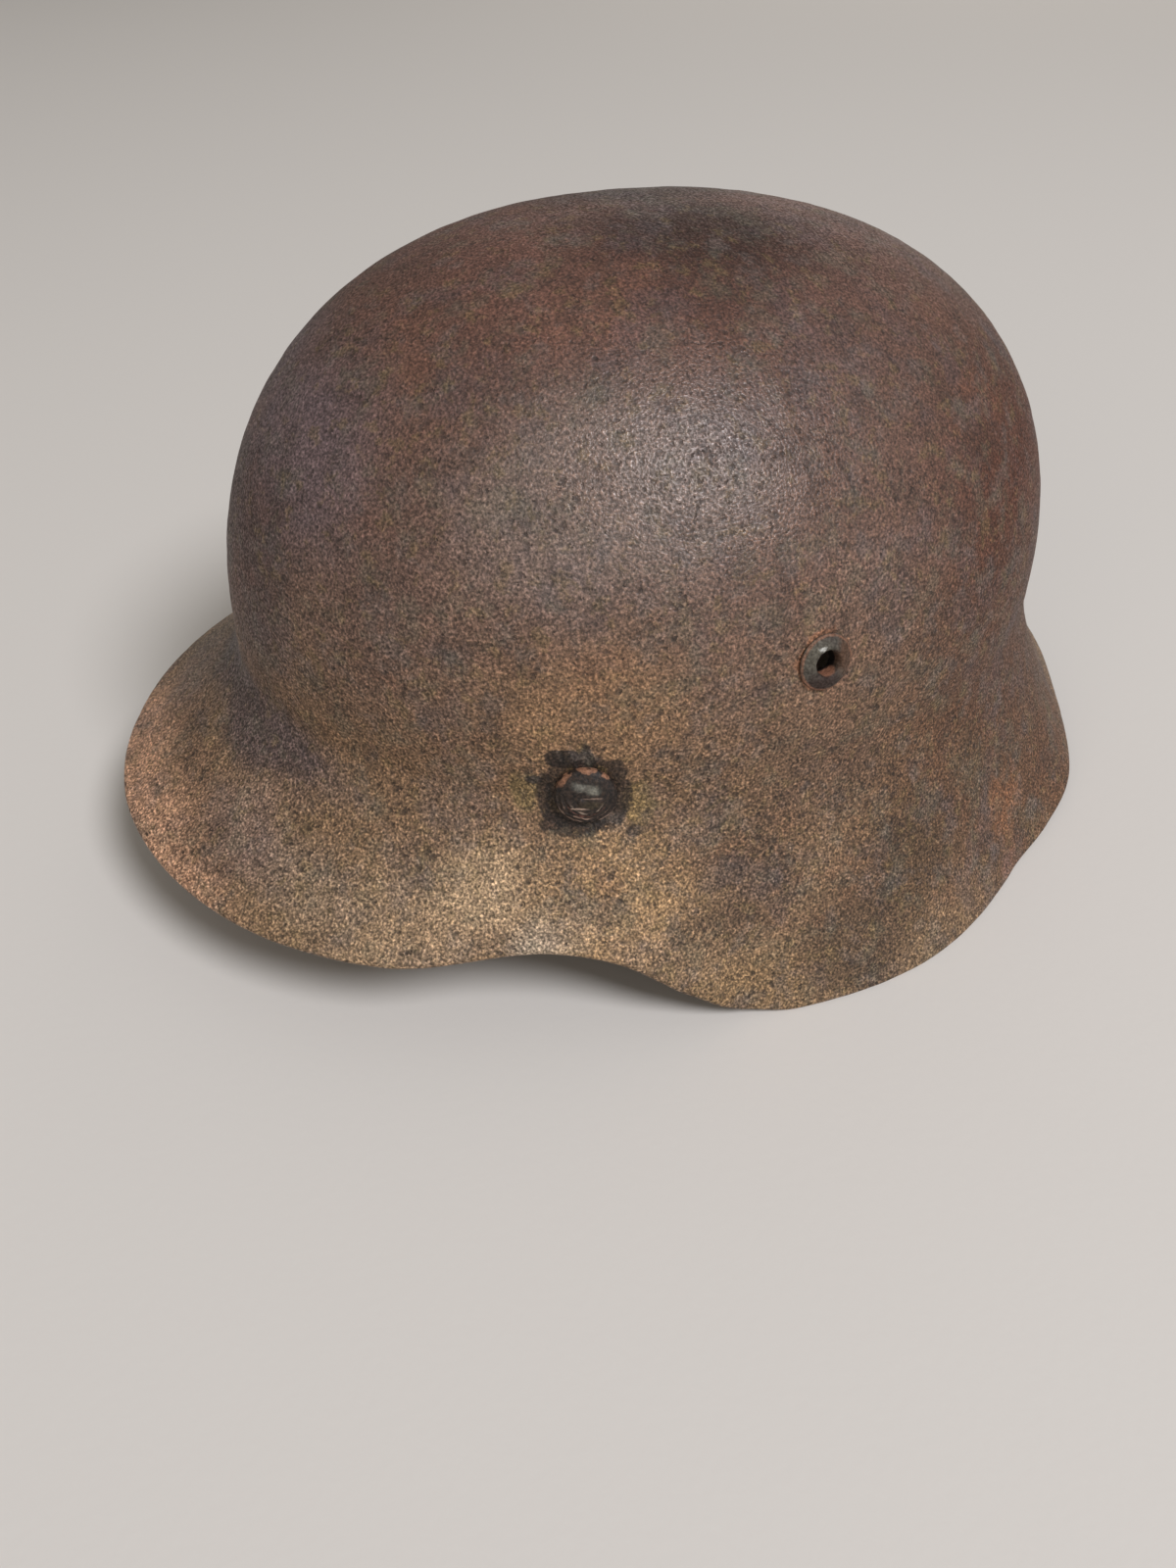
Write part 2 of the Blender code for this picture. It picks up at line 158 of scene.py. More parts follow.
def smooth_step(low, high, value):
    share = np.clip((value - low) / (high - low), 0.0, 1.0)
    return share * share * (3.0 - 2.0 * share)


class Sheet:
    """The pressed sheet's outer surface, as points for arrays of bearings and travels."""

    def __init__(self, size):
        self.size = size
        self.centre_y = (size.dome_front + size.visor_reach - size.dome_rear - size.neck_reach) / 2.0

    def edge_value(self, column, bearing):
        """One column of the edge table at any bearing, on either side of the helmet."""
        nodes = [section.bearing for section in EDGE_SECTIONS]
        values = [getattr(section, column) for section in EDGE_SECTIONS]
        return smooth_through(nodes, values, np.abs((bearing + 180.0) % 360.0 - 180.0))

    def edge_reach(self, bearing):
        return (self.edge_value("visor", bearing) * self.size.visor_reach
                + self.edge_value("skirt", bearing) * self.size.skirt_reach
                + self.edge_value("neck", bearing) * self.size.neck_reach)

    def edge_lift(self, bearing):
        return (self.edge_value("visor_lift", bearing) * self.size.visor_lift
                + self.edge_value("neck_lift", bearing) * self.size.neck_lift)

    def oval_radius(self, bearing):
        """Plan radius of the dome at its waist."""
        angle = np.radians(bearing)
        length = np.where(np.cos(angle) > 0.0, self.size.dome_front, self.size.dome_rear)
        across = np.abs(np.sin(angle)) / self.size.dome_half_width
        along = np.abs(np.cos(angle)) / length
        return (across ** PLAN_FULLNESS + along ** PLAN_FULLNESS) ** (-1.0 / PLAN_FULLNESS)

    def outline_exponent(self, bearing):
        """Superellipse exponent of the dome's outline in the plane of one bearing."""
        angle = np.radians(bearing)
        end = np.where(np.cos(angle) > 0.0, OUTLINE_FULLNESS.front, OUTLINE_FULLNESS.rear)
        return end * np.cos(angle) ** 2 + OUTLINE_FULLNESS.side * np.sin(angle) ** 2

    def place_at(self, bearing, radius, height):
        angle = np.radians(bearing)
        return np.stack([radius * np.sin(angle), self.centre_y - radius * np.cos(angle), height], axis=-1)

    def dome_point(self, bearing, climb):
        """Outer surface above the waist. Climb runs from 0 at the waist to 1 at the crown."""
        angle = climb * math.pi / 2.0
        power = 2.0 / self.outline_exponent(bearing)
        rise = np.sin(angle) ** power
        radius = self.oval_radius(bearing) * np.maximum(np.cos(angle), 0.0) ** power
        height = self.size.waist_height + (self.size.height - self.size.waist_height) * rise
        point = self.place_at(bearing, radius, height)
        point[..., 1] -= self.size.crown_lean * rise ** 2
        return point

    def flare_point(self, bearing, descent):
        """Outer surface below the waist. Descent runs from 0 at the waist to 1 where the hem rolls in."""
        size = self.size
        wall = self.oval_radius(bearing)
        waist = np.stack([wall, np.full_like(wall, size.waist_height)], axis=-1)
        roll = np.stack([wall + self.edge_reach(bearing) - size.hem_radius,
                         self.edge_lift(bearing) + size.hem_radius - size.stand_wear], axis=-1)
        drop = size.waist_height - roll[..., 1]
        corner = np.stack([wall, roll[..., 1] + self.edge_value("corner", bearing) * drop], axis=-1)
        slope = unit(roll - corner)
        edge = roll + size.hem_radius * np.stack([-slope[..., 1], slope[..., 0]], axis=-1)
        tightness = self.edge_value("tightness", bearing)[..., None]
        upper = waist + (corner - waist) * tightness
        lower = edge - slope * tightness * np.linalg.norm(roll - corner, axis=-1, keepdims=True)
        done, rest = descent[..., None], 1.0 - descent[..., None]
        point = (waist * rest ** 3 + upper * 3.0 * rest ** 2 * done
                 + lower * 3.0 * rest * done ** 2 + edge * done ** 3)
        return self.place_at(bearing, point[..., 0], point[..., 1])

    def point(self, bearing, travel):
        bearing, travel = np.broadcast_arrays(np.asarray(bearing, float), np.asarray(travel, float))
        above = self.dome_point(bearing, np.clip(-travel, 0.0, 1.0))
        below = self.flare_point(bearing, np.clip(travel, 0.0, 1.0))
        return np.where((travel < 0.0)[..., None], above, below)

    def directions(self, bearing, travel):
        """Outward normal of the outer surface, and the direction round the helmet."""
        round_about = self.point(bearing + SMALL_TURN, travel) - self.point(bearing - SMALL_TURN, travel)
        downward = self.point(bearing, travel + SMALL_TRAVEL) - self.point(bearing, travel - SMALL_TRAVEL)
        return unit(np.cross(downward, round_about)), unit(round_about)

    def inside(self, bearing, travel, depth):
        """Points a depth inside the outer surface."""
        return self.point(bearing, travel) - self.directions(bearing, travel)[0] * depth

    def travel_at_height(self, bearing, height):
        """Where the outer surface passes a height at one bearing."""
        low, high = -1.0, 1.0
        for _ in range(HEIGHT_SEARCH_STEPS):
            middle = (low + high) / 2.0
            if self.point(bearing, middle)[2] > height:
                low = middle
            else:
                high = middle
        return low

    def even_travels(self, count, start, end):
        """Travels that divide the sheet, from crown to hem at one bearing, into equal lengths."""
        travels = np.linspace(start, end, SPACING_SAMPLES)
        points = self.point(np.full(SPACING_SAMPLES, SPACING_BEARING), travels)
        lengths = np.concatenate([[0.0], np.cumsum(np.linalg.norm(np.diff(points, axis=0), axis=1))])
        return np.interp(np.linspace(0.0, lengths[-1], count + 1), lengths, travels)

    def fold_travel(self, bearing):
        """How far down the flare the hem's folded leg begins."""
        last = self.point(bearing, np.ones_like(bearing)) - self.point(bearing, 1.0 - SMALL_TRAVEL)
        return 1.0 - self.size.hem_leg * SMALL_TRAVEL / np.linalg.norm(last, axis=-1)

    def seat(self, bearing, height, footprint):
        """Placement of a round fitting: its Z is the axis, and its Z = 0 plane just clears the sheet."""
        def sample(across, up):
            there = bearing + across * turn
            return Vector(self.point(there, self.travel_at_height(there, height + up * footprint)))

        turn = 0.0
        centre = sample(0.0, 0.0)
        turn = math.degrees(footprint / math.hypot(centre.x, centre.y - self.centre_y))
        across = (sample(1.0, 0.0) - sample(-1.0, 0.0)).normalized()
        axis = across.cross(sample(0.0, 1.0) - sample(0.0, -1.0)).normalized()
        angles = [2.0 * math.pi * i / SEAT_SAMPLES for i in range(SEAT_SAMPLES)]
        reach = [(sample(math.cos(a), math.sin(a)) - centre).dot(axis) for a in angles]
        origin = centre + axis * (max(reach + [0.0]) + SEAT_GAP)
        turned_frame = Matrix((across, axis.cross(across), axis)).transposed().to_4x4()
        return Matrix.Translation(origin) @ turned_frame

    def depth_behind(self, placement, bearing, height):
        """How far the sheet's inner surface lies behind a fitting's seat plane."""
        inner = self.inside(bearing, self.travel_at_height(bearing, height), self.size.wall)
        return -(placement.inverted() @ Vector(inner)).z


Ring = namedtuple("Ring", "points facing relief spacing")

# How much of the full relief shows on the rolled hem and on the inside, and the least space between points
HEM_RELIEF = 0.6
INNER_RELIEF = 0.5
OUTER_SPACING = 0.8 * MM
INNER_SPACING = 1.9 * MM


def sheet_rings(sheet):
    """Rings of the sheet from the crown, down the outside, round the hem and back up the inside."""
    size = sheet.size
    bearing = np.arange(RING_POINTS) * 360.0 / RING_POINTS
    fold = sheet.fold_travel(bearing)
    normal, round_about = sheet.directions(bearing, 1.0)
    outward = np.cross(round_about, normal)
    centre = sheet.point(bearing, 1.0) - normal * size.hem_radius

    def face(travel, depth, side, relief, spacing=OUTER_SPACING):
        normals = sheet.directions(bearing, travel)[0]
        return Ring(sheet.point(bearing, travel) - normals * depth, normals * side, relief, spacing)

    def roll(radius, turn, side, relief):
        facing = normal * math.cos(turn) + outward * math.sin(turn)
        return Ring(centre + facing * radius, facing * side, relief, OUTER_SPACING)

    deep = 2.0 * size.hem_radius
    leg = [1.0 + (fold - 1.0) * i / LEG_ROWS for i in range(1, LEG_ROWS + 1)]
    rings = [face(travel, 0.0, 1.0, 1.0) for travel in sheet.even_travels(OUTER_ROWS, -1.0, 1.0)[1:]]
    rings += [roll(size.hem_radius, math.pi * i / HEM_FACETS, 1.0, HEM_RELIEF)
              for i in range(1, HEM_FACETS + 1)]
    rings += [face(travel, deep, -1.0, HEM_RELIEF) for travel in leg]
    rings += [face(travel, deep - size.wall, 1.0, 0.0) for travel in reversed(leg)]
    rings += [roll(size.hem_radius - size.wall, math.pi * (1.0 - i / INNER_ROLL_FACETS), -1.0, 0.0)
              for i in range(INNER_ROLL_FACETS + 1)]
    rings += [face(travel, size.wall, -1.0, INNER_RELIEF, INNER_SPACING)
              for travel in sheet.even_travels(INNER_ROWS, 1.0, -1.0)[1:-1]]
    return rings


def rust_depth(points):
    """How far rust has eaten the surface back at each point: flaked plates, coarse grain and round pits."""
    depths = np.zeros(len(points))
    for i, point in enumerate(points):
        place = Vector(point)
        plate = noise.noise(place / SCALE_PLATES.width)
        depths[i] = SCALE_PLATES.depth * min(max(0.5 + PLATE_CONTRAST * plate, 0.0), 1.0)
        depths[i] += GRAIN_RELIEF.depth * (0.5 + 0.5 * noise.noise(place / GRAIN_RELIEF.width))
        distances, cells = noise.voronoi(place / PIT_RELIEF.width)
        if noise.cell(cells[0] * PIT_SHUFFLE) < PIT_SHARE:
            depths[i] += PIT_RELIEF.depth * max(0.0, 1.0 - distances[0] / PIT_MOUTH) ** PIT_STEEPNESS
    return depths


def stitch(upper, lower):
    """Faces between two rings of point numbers, one of which may have twice as many as the other."""
    faces = []
    if len(upper) == len(lower):
        for i in range(len(upper)):
            k = (i + 1) % len(upper)
            faces.append((upper[i], lower[i], lower[k], upper[k]))
    elif len(lower) > len(upper):
        for i in range(len(upper)):
            k = (i + 1) % len(upper)
            first, middle, last = lower[2 * i], lower[2 * i + 1], lower[2 * k]
            faces += [(upper[i], first, middle), (upper[i], middle, upper[k]), (upper[k], middle, last)]
    else:
        for i in range(len(lower)):
            k = (i + 1) % len(lower)
            first, middle, last = upper[2 * i], upper[2 * i + 1], upper[2 * k]
            faces += [(first, lower[i], middle), (middle, lower[i], lower[k]), (middle, lower[k], last)]
    return faces


def add_piece(name, points, faces, finish, placement=None):
    """A mesh object from points and faces, with its finish and placement when they are given."""
    mesh = bpy.data.meshes.new(name)
    mesh.from_pydata([tuple(point) for point in points], [], faces)
    mesh.validate()
    piece = bpy.data.objects.new(name, mesh)
    bpy.context.scene.collection.objects.link(piece)
    if placement is not None:
        piece.matrix_world = placement
    if finish is not None:
        mesh.materials.append(finish)
    return piece


def shade(piece):
    piece.data.shade_smooth()
    piece.data.set_sharp_from_angle(angle=CREASE_ANGLE)


def apply_booleans(piece, tools, operation):
    """Cuts the tools out of a piece, or joins them to it, and removes them."""
    for tool in tools:
        change = piece.modifiers.new(tool.name, "BOOLEAN")
        change.operation = operation
        change.object = tool
        change.solver = "EXACT"
    bpy.context.view_layer.update()
    evaluated = piece.evaluated_get(bpy.context.evaluated_depsgraph_get())
    made = bpy.data.meshes.new_from_object(evaluated)
    made.name = piece.data.name
    piece.modifiers.clear()
    piece.data = made
    for tool in tools:
        bpy.data.objects.remove(tool, do_unlink=True)


def turned(profile, sides, closed):
    """Points and faces turned about Z: a ring from a closed profile, a capped solid from an open one."""
    angles = [2.0 * math.pi * i / sides for i in range(sides)]
    points = [(r * math.cos(angle), r * math.sin(angle), h) for r, h in profile for angle in angles]
    rings = [list(range(row * sides, (row + 1) * sides)) for row in range(len(profile))]
    faces = [] if closed else [tuple(rings[0])]
    for upper, lower in zip(rings, rings[1:] + rings[:1] if closed else rings[1:]):
        faces += stitch(upper, lower)
    if not closed:
        faces.append(tuple(reversed(rings[-1])))
    return points, faces


def make_shell(sheet, fittings, finish):
    """The rust-eaten sheet as one closed skin, with a hole for each fitting."""
    points, rings = [], []
    for ring in sheet_rings(sheet):
        thinning = 1
        across = np.linalg.norm(ring.points[:, :2], axis=1).mean()
        while 2.0 * math.pi * across * thinning / RING_POINTS < ring.spacing and thinning < MOST_THINNED:
            thinning *= 2
        kept = ring.points[::thinning]
        if ring.relief > 0.0:
            kept = kept - ring.facing[::thinning] * (rust_depth(kept) * ring.relief)[:, None]
        rings.append(list(range(len(points), len(points) + len(kept))))
        points += kept.tolist()
    faces = []
    for upper, lower in zip(rings, rings[1:]):
        faces += stitch(upper, lower)
    crown = len(points)
    for side, ring in ((0.0, rings[0]), (sheet.size.wall, rings[-1])):
        middle = np.mean([points[i] for i in ring], axis=0)
        middle[2] = max(points[i][2] for i in ring)
        points.append(middle.tolist())
    for i in range(len(rings[0])):
        faces.append((crown, rings[0][i], rings[0][(i + 1) % len(rings[0])]))
    for i in range(len(rings[-1])):
        faces.append((crown + 1, rings[-1][(i + 1) % len(rings[-1])], rings[-1][i]))
    for point in points:
        point[2] = max(point[2], 0.0)
    shell = add_piece("rusted_shell", points, faces, finish)

    cutters = []
    for name, placement, radius in fittings:
        length = CUTTER_REACH * sheet.size.hem_radius + radius
        points, faces = turned([(radius, length), (radius, -length)], CUTTER_SIDES, closed=False)
        cutters.append(add_piece(name + "_hole", points, faces, None, placement))
    apply_booleans(shell, cutters, "DIFFERENCE")
    shade(shell)
    return shell


# The bushing's outer face: shares of the width from its bore to its edge, and of its rise
FaceRow = namedtuple("FaceRow", "width rise")
BUSHING_FACE = [
    FaceRow(1.00, 0.00),
    FaceRow(1.00, 0.10),
    FaceRow(0.97, 0.20),
    FaceRow(0.88, 0.36),
    FaceRow(0.74, 0.56),
    FaceRow(0.58, 0.76),
    FaceRow(0.42, 0.92),
    FaceRow(0.28, 1.00),
    FaceRow(0.16, 0.95),
    FaceRow(0.07, 0.74),
    FaceRow(0.02, 0.42),
    FaceRow(0.00, 0.00),
]
BUSHING_FACE_ROWS = 36
BUSHING_BORE_ROWS = 8
BUSHING_SIDES = 96
BUSHING_DENTS = Relief(width=1.5 * MM, depth=0.26 * MM)
BUSHING_SCALE = Relief(width=0.6 * MM, depth=0.10 * MM)
LIP_ROUND = 0.15 * MM


def roughen(piece, reliefs, seed):
    """Presses dents and scale marks into a piece along its normals."""
    mesh = piece.data
    shift = Vector((seed, 2.0 * seed, -seed))
    normals = [vertex.normal.copy() for vertex in mesh.vertices]
    for vertex, normal in zip(mesh.vertices, normals):
        depth = sum(relief.depth * (0.5 + 0.5 * noise.noise(vertex.co / relief.width + shift))
                    for relief in reliefs)
        vertex.co -= normal * depth


def make_bushing(sheet, size, name, bearing, seed, finish):
    """An air bushing: a dished ring on a short tube, with its lip turned out inside."""
    placement = sheet.seat(bearing, size.height, size.flange_radius)
    tube = size.bore_radius + size.tube_wall
    lip_sag = size.lip_radius ** 2 / (2.0 * sheet.size.dome_half_width)
    lip_top = -sheet.depth_behind(placement, bearing, size.height) - SEAT_GAP - lip_sag
    lip_base = lip_top - size.lip_thickness
    steps = np.arange(len(BUSHING_FACE))
    places = np.linspace(0.0, len(BUSHING_FACE) - 1.0, BUSHING_FACE_ROWS)
    widths = smooth_through(steps, [row.width for row in BUSHING_FACE], places)
    rises = smooth_through(steps, [row.rise for row in BUSHING_FACE], places)
    face_width = size.flange_radius - size.bore_radius
    profile = [(size.bore_radius + width * face_width, rise * size.flange_rise)
               for width, rise in zip(widths, rises)]
    profile += [(size.bore_radius, lip_base * i / BUSHING_BORE_ROWS) for i in range(1, BUSHING_BORE_ROWS)]
    profile += [
        (size.bore_radius, lip_base + LIP_ROUND),
        (size.bore_radius + LIP_ROUND, lip_base),
        (size.lip_radius - LIP_ROUND, lip_base),
        (size.lip_radius, lip_base + LIP_ROUND),
        (size.lip_radius, lip_top),
        (tube, lip_top),
        (tube, 0.0),
    ]
    points, faces = turned(profile, BUSHING_SIDES, closed=True)
    bushing = add_piece(name, points, faces, finish, placement)
    roughen(bushing, [BUSHING_DENTS, BUSHING_SCALE], seed)
    shade(bushing)
    return bushing


# The pin's head: rust has split it into leaves that step down towards its lower edge. Leaf step is the part
# of a leaf's thickness over which the surface steps. Whole and broken are the heights on the head, as shares
# of its radius, above which no leaf has broken and below which all have.
PIN_SIDES = 120
PIN_HEAD_ROWS = 64
PIN_SHANK_ROWS = 4
LEAF_THICKNESS = 0.55 * MM
LEAF_STEP = (0.55, 0.95)
LEAVES_WHOLE = 0.45
LEAVES_BROKEN = -0.20
LEAF_WARP = Relief(width=2.4 * MM, depth=0.40 * MM)
PIN_SCALE = Relief(width=0.9 * MM, depth=0.14 * MM)
PIN_LUMPS = Relief(width=3.4 * MM, depth=0.30 * MM)
LEG_STATIONS = 28
LEG_TIP = 0.6
LEG_TIP_LENGTH = 1.6 * MM


def leaf_height(height, x, y, size, seed):
    """Height on the pin's head once its leaves have broken back, more so on its lower half."""
    warp = LEAF_WARP.depth * noise.noise(Vector((x, y, seed * MM)) / LEAF_WARP.width)
    level = (height + warp) / LEAF_THICKNESS
    step = smooth_step(*LEAF_STEP, level % 1.0)
    stepped = (math.floor(level) + step) * LEAF_THICKNESS - warp
    share = float(smooth_step(LEAVES_WHOLE, LEAVES_BROKEN, y / size.head_radius))
    return height + (stepped - height) * share


def make_pin(sheet, size, name, bearing, seed, finish):
    """A split pin: a domed head outside, a shank through the sheet and two legs inside."""
    placement = sheet.seat(bearing, size.height, size.head_radius)
    tip = -sheet.depth_behind(placement, bearing, size.height) - SEAT_GAP - size.leg_thickness - size.knuckle
    dome = size.head_rise - size.head_edge
    turns = [math.pi / 2.0 * (i + 1) / PIN_HEAD_ROWS for i in range(PIN_HEAD_ROWS)]
    profile = [(size.head_radius * math.sin(turn), size.head_edge + dome * math.cos(turn)) for turn in turns]
    profile += [(size.head_radius, size.head_edge / 2.0), (size.head_radius, 0.0), (size.shank_radius, 0.0)]
    profile += [(size.shank_radius, tip * i / PIN_SHANK_ROWS) for i in range(1, PIN_SHANK_ROWS + 1)]
    points, faces = turned(profile, PIN_SIDES, closed=False)
    points = [(x, y, float(leaf_height(z, x, y, size, seed)) if z > size.head_edge / 2.0 else z)
              for x, y, z in points]
    pin = add_piece(name, points, faces, finish, placement)
    roughen(pin, [PIN_SCALE, PIN_LUMPS], seed)

    back = placement.inverted()
    leg_points, leg_faces = leg_strip(sheet, size, bearing)
    leg_points = [back @ Vector(point) for point in leg_points]
    legs = add_piece(name + "_legs", leg_points, leg_faces, finish, placement)
    apply_booleans(pin, [legs], "UNION")
    shade(pin)
    return pin


def leg_strip(sheet, size, bearing):
    """Points and faces of the pin's two legs, spread as one strip along the sheet's inside."""
    near = sheet.size.wall + SEAT_GAP
    far = near + size.leg_thickness
    wall = float(sheet.oval_radius(bearing))
    sections = []
    for i in range(LEG_STATIONS + 1):
        along = (2.0 * i / LEG_STATIONS - 1.0) * size.leg_reach
        to_tip = (size.leg_reach - abs(along)) / LEG_TIP_LENGTH
        half = size.leg_width / 2.0 * (LEG_TIP + (1.0 - LEG_TIP) * math.sqrt(min(to_tip, 1.0)))
        there = bearing + math.degrees(along / wall)
        section = []
        for up, depth in ((half, near), (-half, near), (-half, far), (half, far)):
            travel = sheet.travel_at_height(there, size.height + up)
            section.append(sheet.inside(there, travel, depth))
        sections.append(section)
    points = [point for section in sections for point in section]
    faces = [(0, 1, 2, 3)]
    for i in range(LEG_STATIONS):
        for j in range(4):
            k = (j + 1) % 4
            faces.append((4 * i + j, 4 * i + 4 + j, 4 * i + 4 + k, 4 * i + k))
    last = 4 * LEG_STATIONS
    faces.append((last + 3, last + 2, last + 1, last))
    return points, faces


def add_node(tree, kind, inputs=None, **settings):
    """Adds a node. Inputs are values, nodes or sockets, by socket identifier. Settings are its own."""
    node = tree.nodes.new(kind)
    for name, value in settings.items():
        setattr(node, name, value)
    sockets = {socket.identifier: socket for socket in node.inputs}
    for name, value in (inputs or {}).items():
        if isinstance(value, bpy.types.Node):
            value = next(socket for socket in value.outputs if socket.enabled)
        if isinstance(value, bpy.types.NodeSocket):
            tree.links.new(value, sockets[name])
        else:
            sockets[name].default_value = value
    return node


def new_material(name, base_colour):
    """A material with an empty node tree, and a function that adds nodes to it."""
    finish = bpy.data.materials.new(name)
    finish.use_nodes = True
    finish.node_tree.nodes.clear()
    finish.diffuse_color = opaque(base_colour)
    return finish, partial(add_node, finish.node_tree)


def opaque(colour):
    return (*colour, 1.0)


def rgba(hex_colour):
    return opaque(linear(hex_colour))


# Rust colours that change slowly over the sheet. A few zones also paint shade or a sheen, as said beside
# them. Places and reaches are in millimetres, and the places are folded onto the wearer's left, so that both
# sides carry like marks in other outlines.
RustZone = namedtuple("RustZone", "name place reach colour strength")
RUST_ZONES = [
    RustZone("crown_red_brown", (0, 0, 168), (84, 104, 46), "#67493f", 0.75),
    RustZone("crown_purple", (18, 6, 153), (25, 34, 14), "#331d15", 0.92),
    RustZone("crown_warm_streak", (37, -21, 145), (12, 28, 10), "#6c4c3e", 0.60),
    # Pale grey oxide round the side of the dome, partly a painted sheen that widens the lamp's highlight
    RustZone("side_grey_painted_sheen", (62, -32, 120), (30, 42, 28), "#77685f", 0.70),
    RustZone("front_blue_grey", (16, -88, 121), (34, 26, 28), "#645659", 0.75),
    # Dark rust on the front shoulder, deepened further as painted shade on the side turned away from the
    # light
    RustZone("front_shoulder_painted_shade", (8, -100, 92), (34, 16, 32), "#4a3836", 0.80),
    # Dark red-brown rust on the back of the dome and skirt, deepened further as painted shade away from the
    # light
    RustZone("rear_wall_painted_shade", (55, 85, 85), (50, 70, 60), "#4c2615", 0.94),
    RustZone("rear_skirt_painted_shade", (70, 90, 40), (80, 95, 60), "#51331f", 0.85),
    RustZone("brow_shadow", (16, -104, 53), (46, 16, 12), "#554848", 0.85),
    RustZone("visor_slope", (15, -121, 39), (22, 11, 8), "#745a47", 0.70),
    RustZone("front_side", (47, -82, 100), (18, 20, 30), "#5a463e", 0.50),
    RustZone("visor_middle", (36, -114, 37), (24, 14, 10), "#806a5e", 0.70),
    RustZone("visor_edge", (20, -140, 28), (62, 22, 16), "#b28a6e", 0.85),
    RustZone("visor_corner", (76, -92, 33), (24, 30, 14), "#957c60", 0.75),
    RustZone("visor_grey", (56, -106, 36), (18, 14, 8), "#85725f", 0.55),
    RustZone("visor_rise", (78, -70, 41), (13, 15, 12), "#a88f70", 0.70),
    RustZone("rim_pale", (91, -61, 32), (7, 12, 10), "#b3a592", 0.70),
    RustZone("waist_tan", (78, -42, 80), (16, 32, 20), "#8a6b4c", 0.60),
    RustZone("under_vent", (91, 8, 58), (13, 24, 18), "#5f4a3b", 0.65),
    RustZone("skirt_grey", (97, -16, 36), (14, 22, 20), "#5c4838", 0.80),
    RustZone("crown_middle", (40, 2, 150), (14, 26, 9), "#4a3128", 0.75),
    RustZone("skirt_rear", (94, 34, 26), (13, 20, 24), "#513e2c", 0.80),
    RustZone("skirt_front", (92, -44, 36), (20, 27, 18), "#9a7c58", 0.70),
    RustZone("skirt_foot", (106, -16, 10), (14, 24, 12), "#7f6546", 0.70),
    RustZone("skirt_umber", (104, 14, 14), (14, 22, 22), "#4e3c2d", 0.75),
    RustZone("neck_olive", (83, 58, 36), (12, 14, 16), "#57432f", 0.60),
    RustZone("neck_orange", (82, 74, 19), (8, 12, 15), "#7b5236", 0.70),
    RustZone("neck_notch", (91, 77, 4), (9, 9, 7), "#7d5340", 0.60),
    RustZone("neck_rim", (60, 108, 14), (50, 24, 18), "#5d3d28", 0.60),
]


# Where a zone is full and where it is gone, as shares of its reach
ZONE_CORE = 0.35
ZONE_RIM = 1.15

# A noise: its width in millimetres, its number of finer layers, and how strongly each of them shows
Texture = namedtuple("Texture", "width detail roughness")


def place_in_mm(node):
    metres = node("ShaderNodeTexCoord").outputs["Object"]
    return vector_node(node, "SCALE", metres, 1.0 / MM)


def math_node(node, operation, *values):
    names = ("Value", "Value_001", "Value_002")
    return node("ShaderNodeMath", dict(zip(names, values)), operation=operation)


def vector_node(node, operation, first, second):
    """Maths on two vectors, or on a vector and the number that scales it."""
    second_name = "Scale" if operation == "SCALE" else "Vector_001"
    return node("ShaderNodeVectorMath", {"Vector": first, second_name: second}, operation=operation)


def noise_node(node, place, texture):
    return node("ShaderNodeTexNoise", {"Vector": place, "Scale": 1.0 / texture.width,
                                       "Detail": texture.detail, "Roughness": texture.roughness})


def remap(node, value, source, target=(0.0, 1.0), interpolation_type="LINEAR"):
    """A value's source range spread over a target range."""
    names = ("Value", "From Min", "From Max", "To Min", "To Max")
    return node("ShaderNodeMapRange", dict(zip(names, (value, *source, *target))),
                interpolation_type=interpolation_type)


def ramp_node(node, factor, stops, colours):
    """A colour ramp with its colours at rising stops."""
    ramp = node("ShaderNodeValToRGB", {"Fac": factor})
    elements = ramp.color_ramp.elements
    for stop in stops[1:-1]:
        elements.new(stop)
    for element, stop, colour in zip(elements, stops, colours):
        element.position = stop
        element.color = opaque(colour)
    return ramp


def about_zero(node, colour):
    """A noise's colour as a vector that swings about zero."""
    return vector_node(node, "SUBTRACT", colour, (0.5, 0.5, 0.5))


def relative_distance(node, place, centre, reach):
    """Distance from a centre, as a share of the reach along each axis."""
    share = vector_node(node, "DIVIDE", vector_node(node, "SUBTRACT", place, centre), reach)
    return node("ShaderNodeVectorMath", {"Vector": share}, operation="LENGTH").outputs["Value"]


def zone_mask(node, place, centre, reach, strength):
    """Full strength within the core of an ellipsoid, fading to nothing at its rim."""
    distance = relative_distance(node, place, centre, reach)
    return remap(node, distance, (ZONE_RIM, ZONE_CORE), (0.0, strength), "SMOOTHSTEP")


def mix_colours(node, factor, first, second):
    return node("ShaderNodeMix", {"Factor_Float": factor, "A_Color": first, "B_Color": second},
                data_type="RGBA")


def close_surface(node, height, sockets):
    """Ends a material with its shader, on which the height shows as a bump."""
    bump = node("ShaderNodeBump", {"Height": height, "Strength": 1.0, "Distance": 1.0})
    shader = node("ShaderNodeBsdfPrincipled", {**sockets, "Normal": bump})
    node("ShaderNodeOutputMaterial", {"Surface": shader})


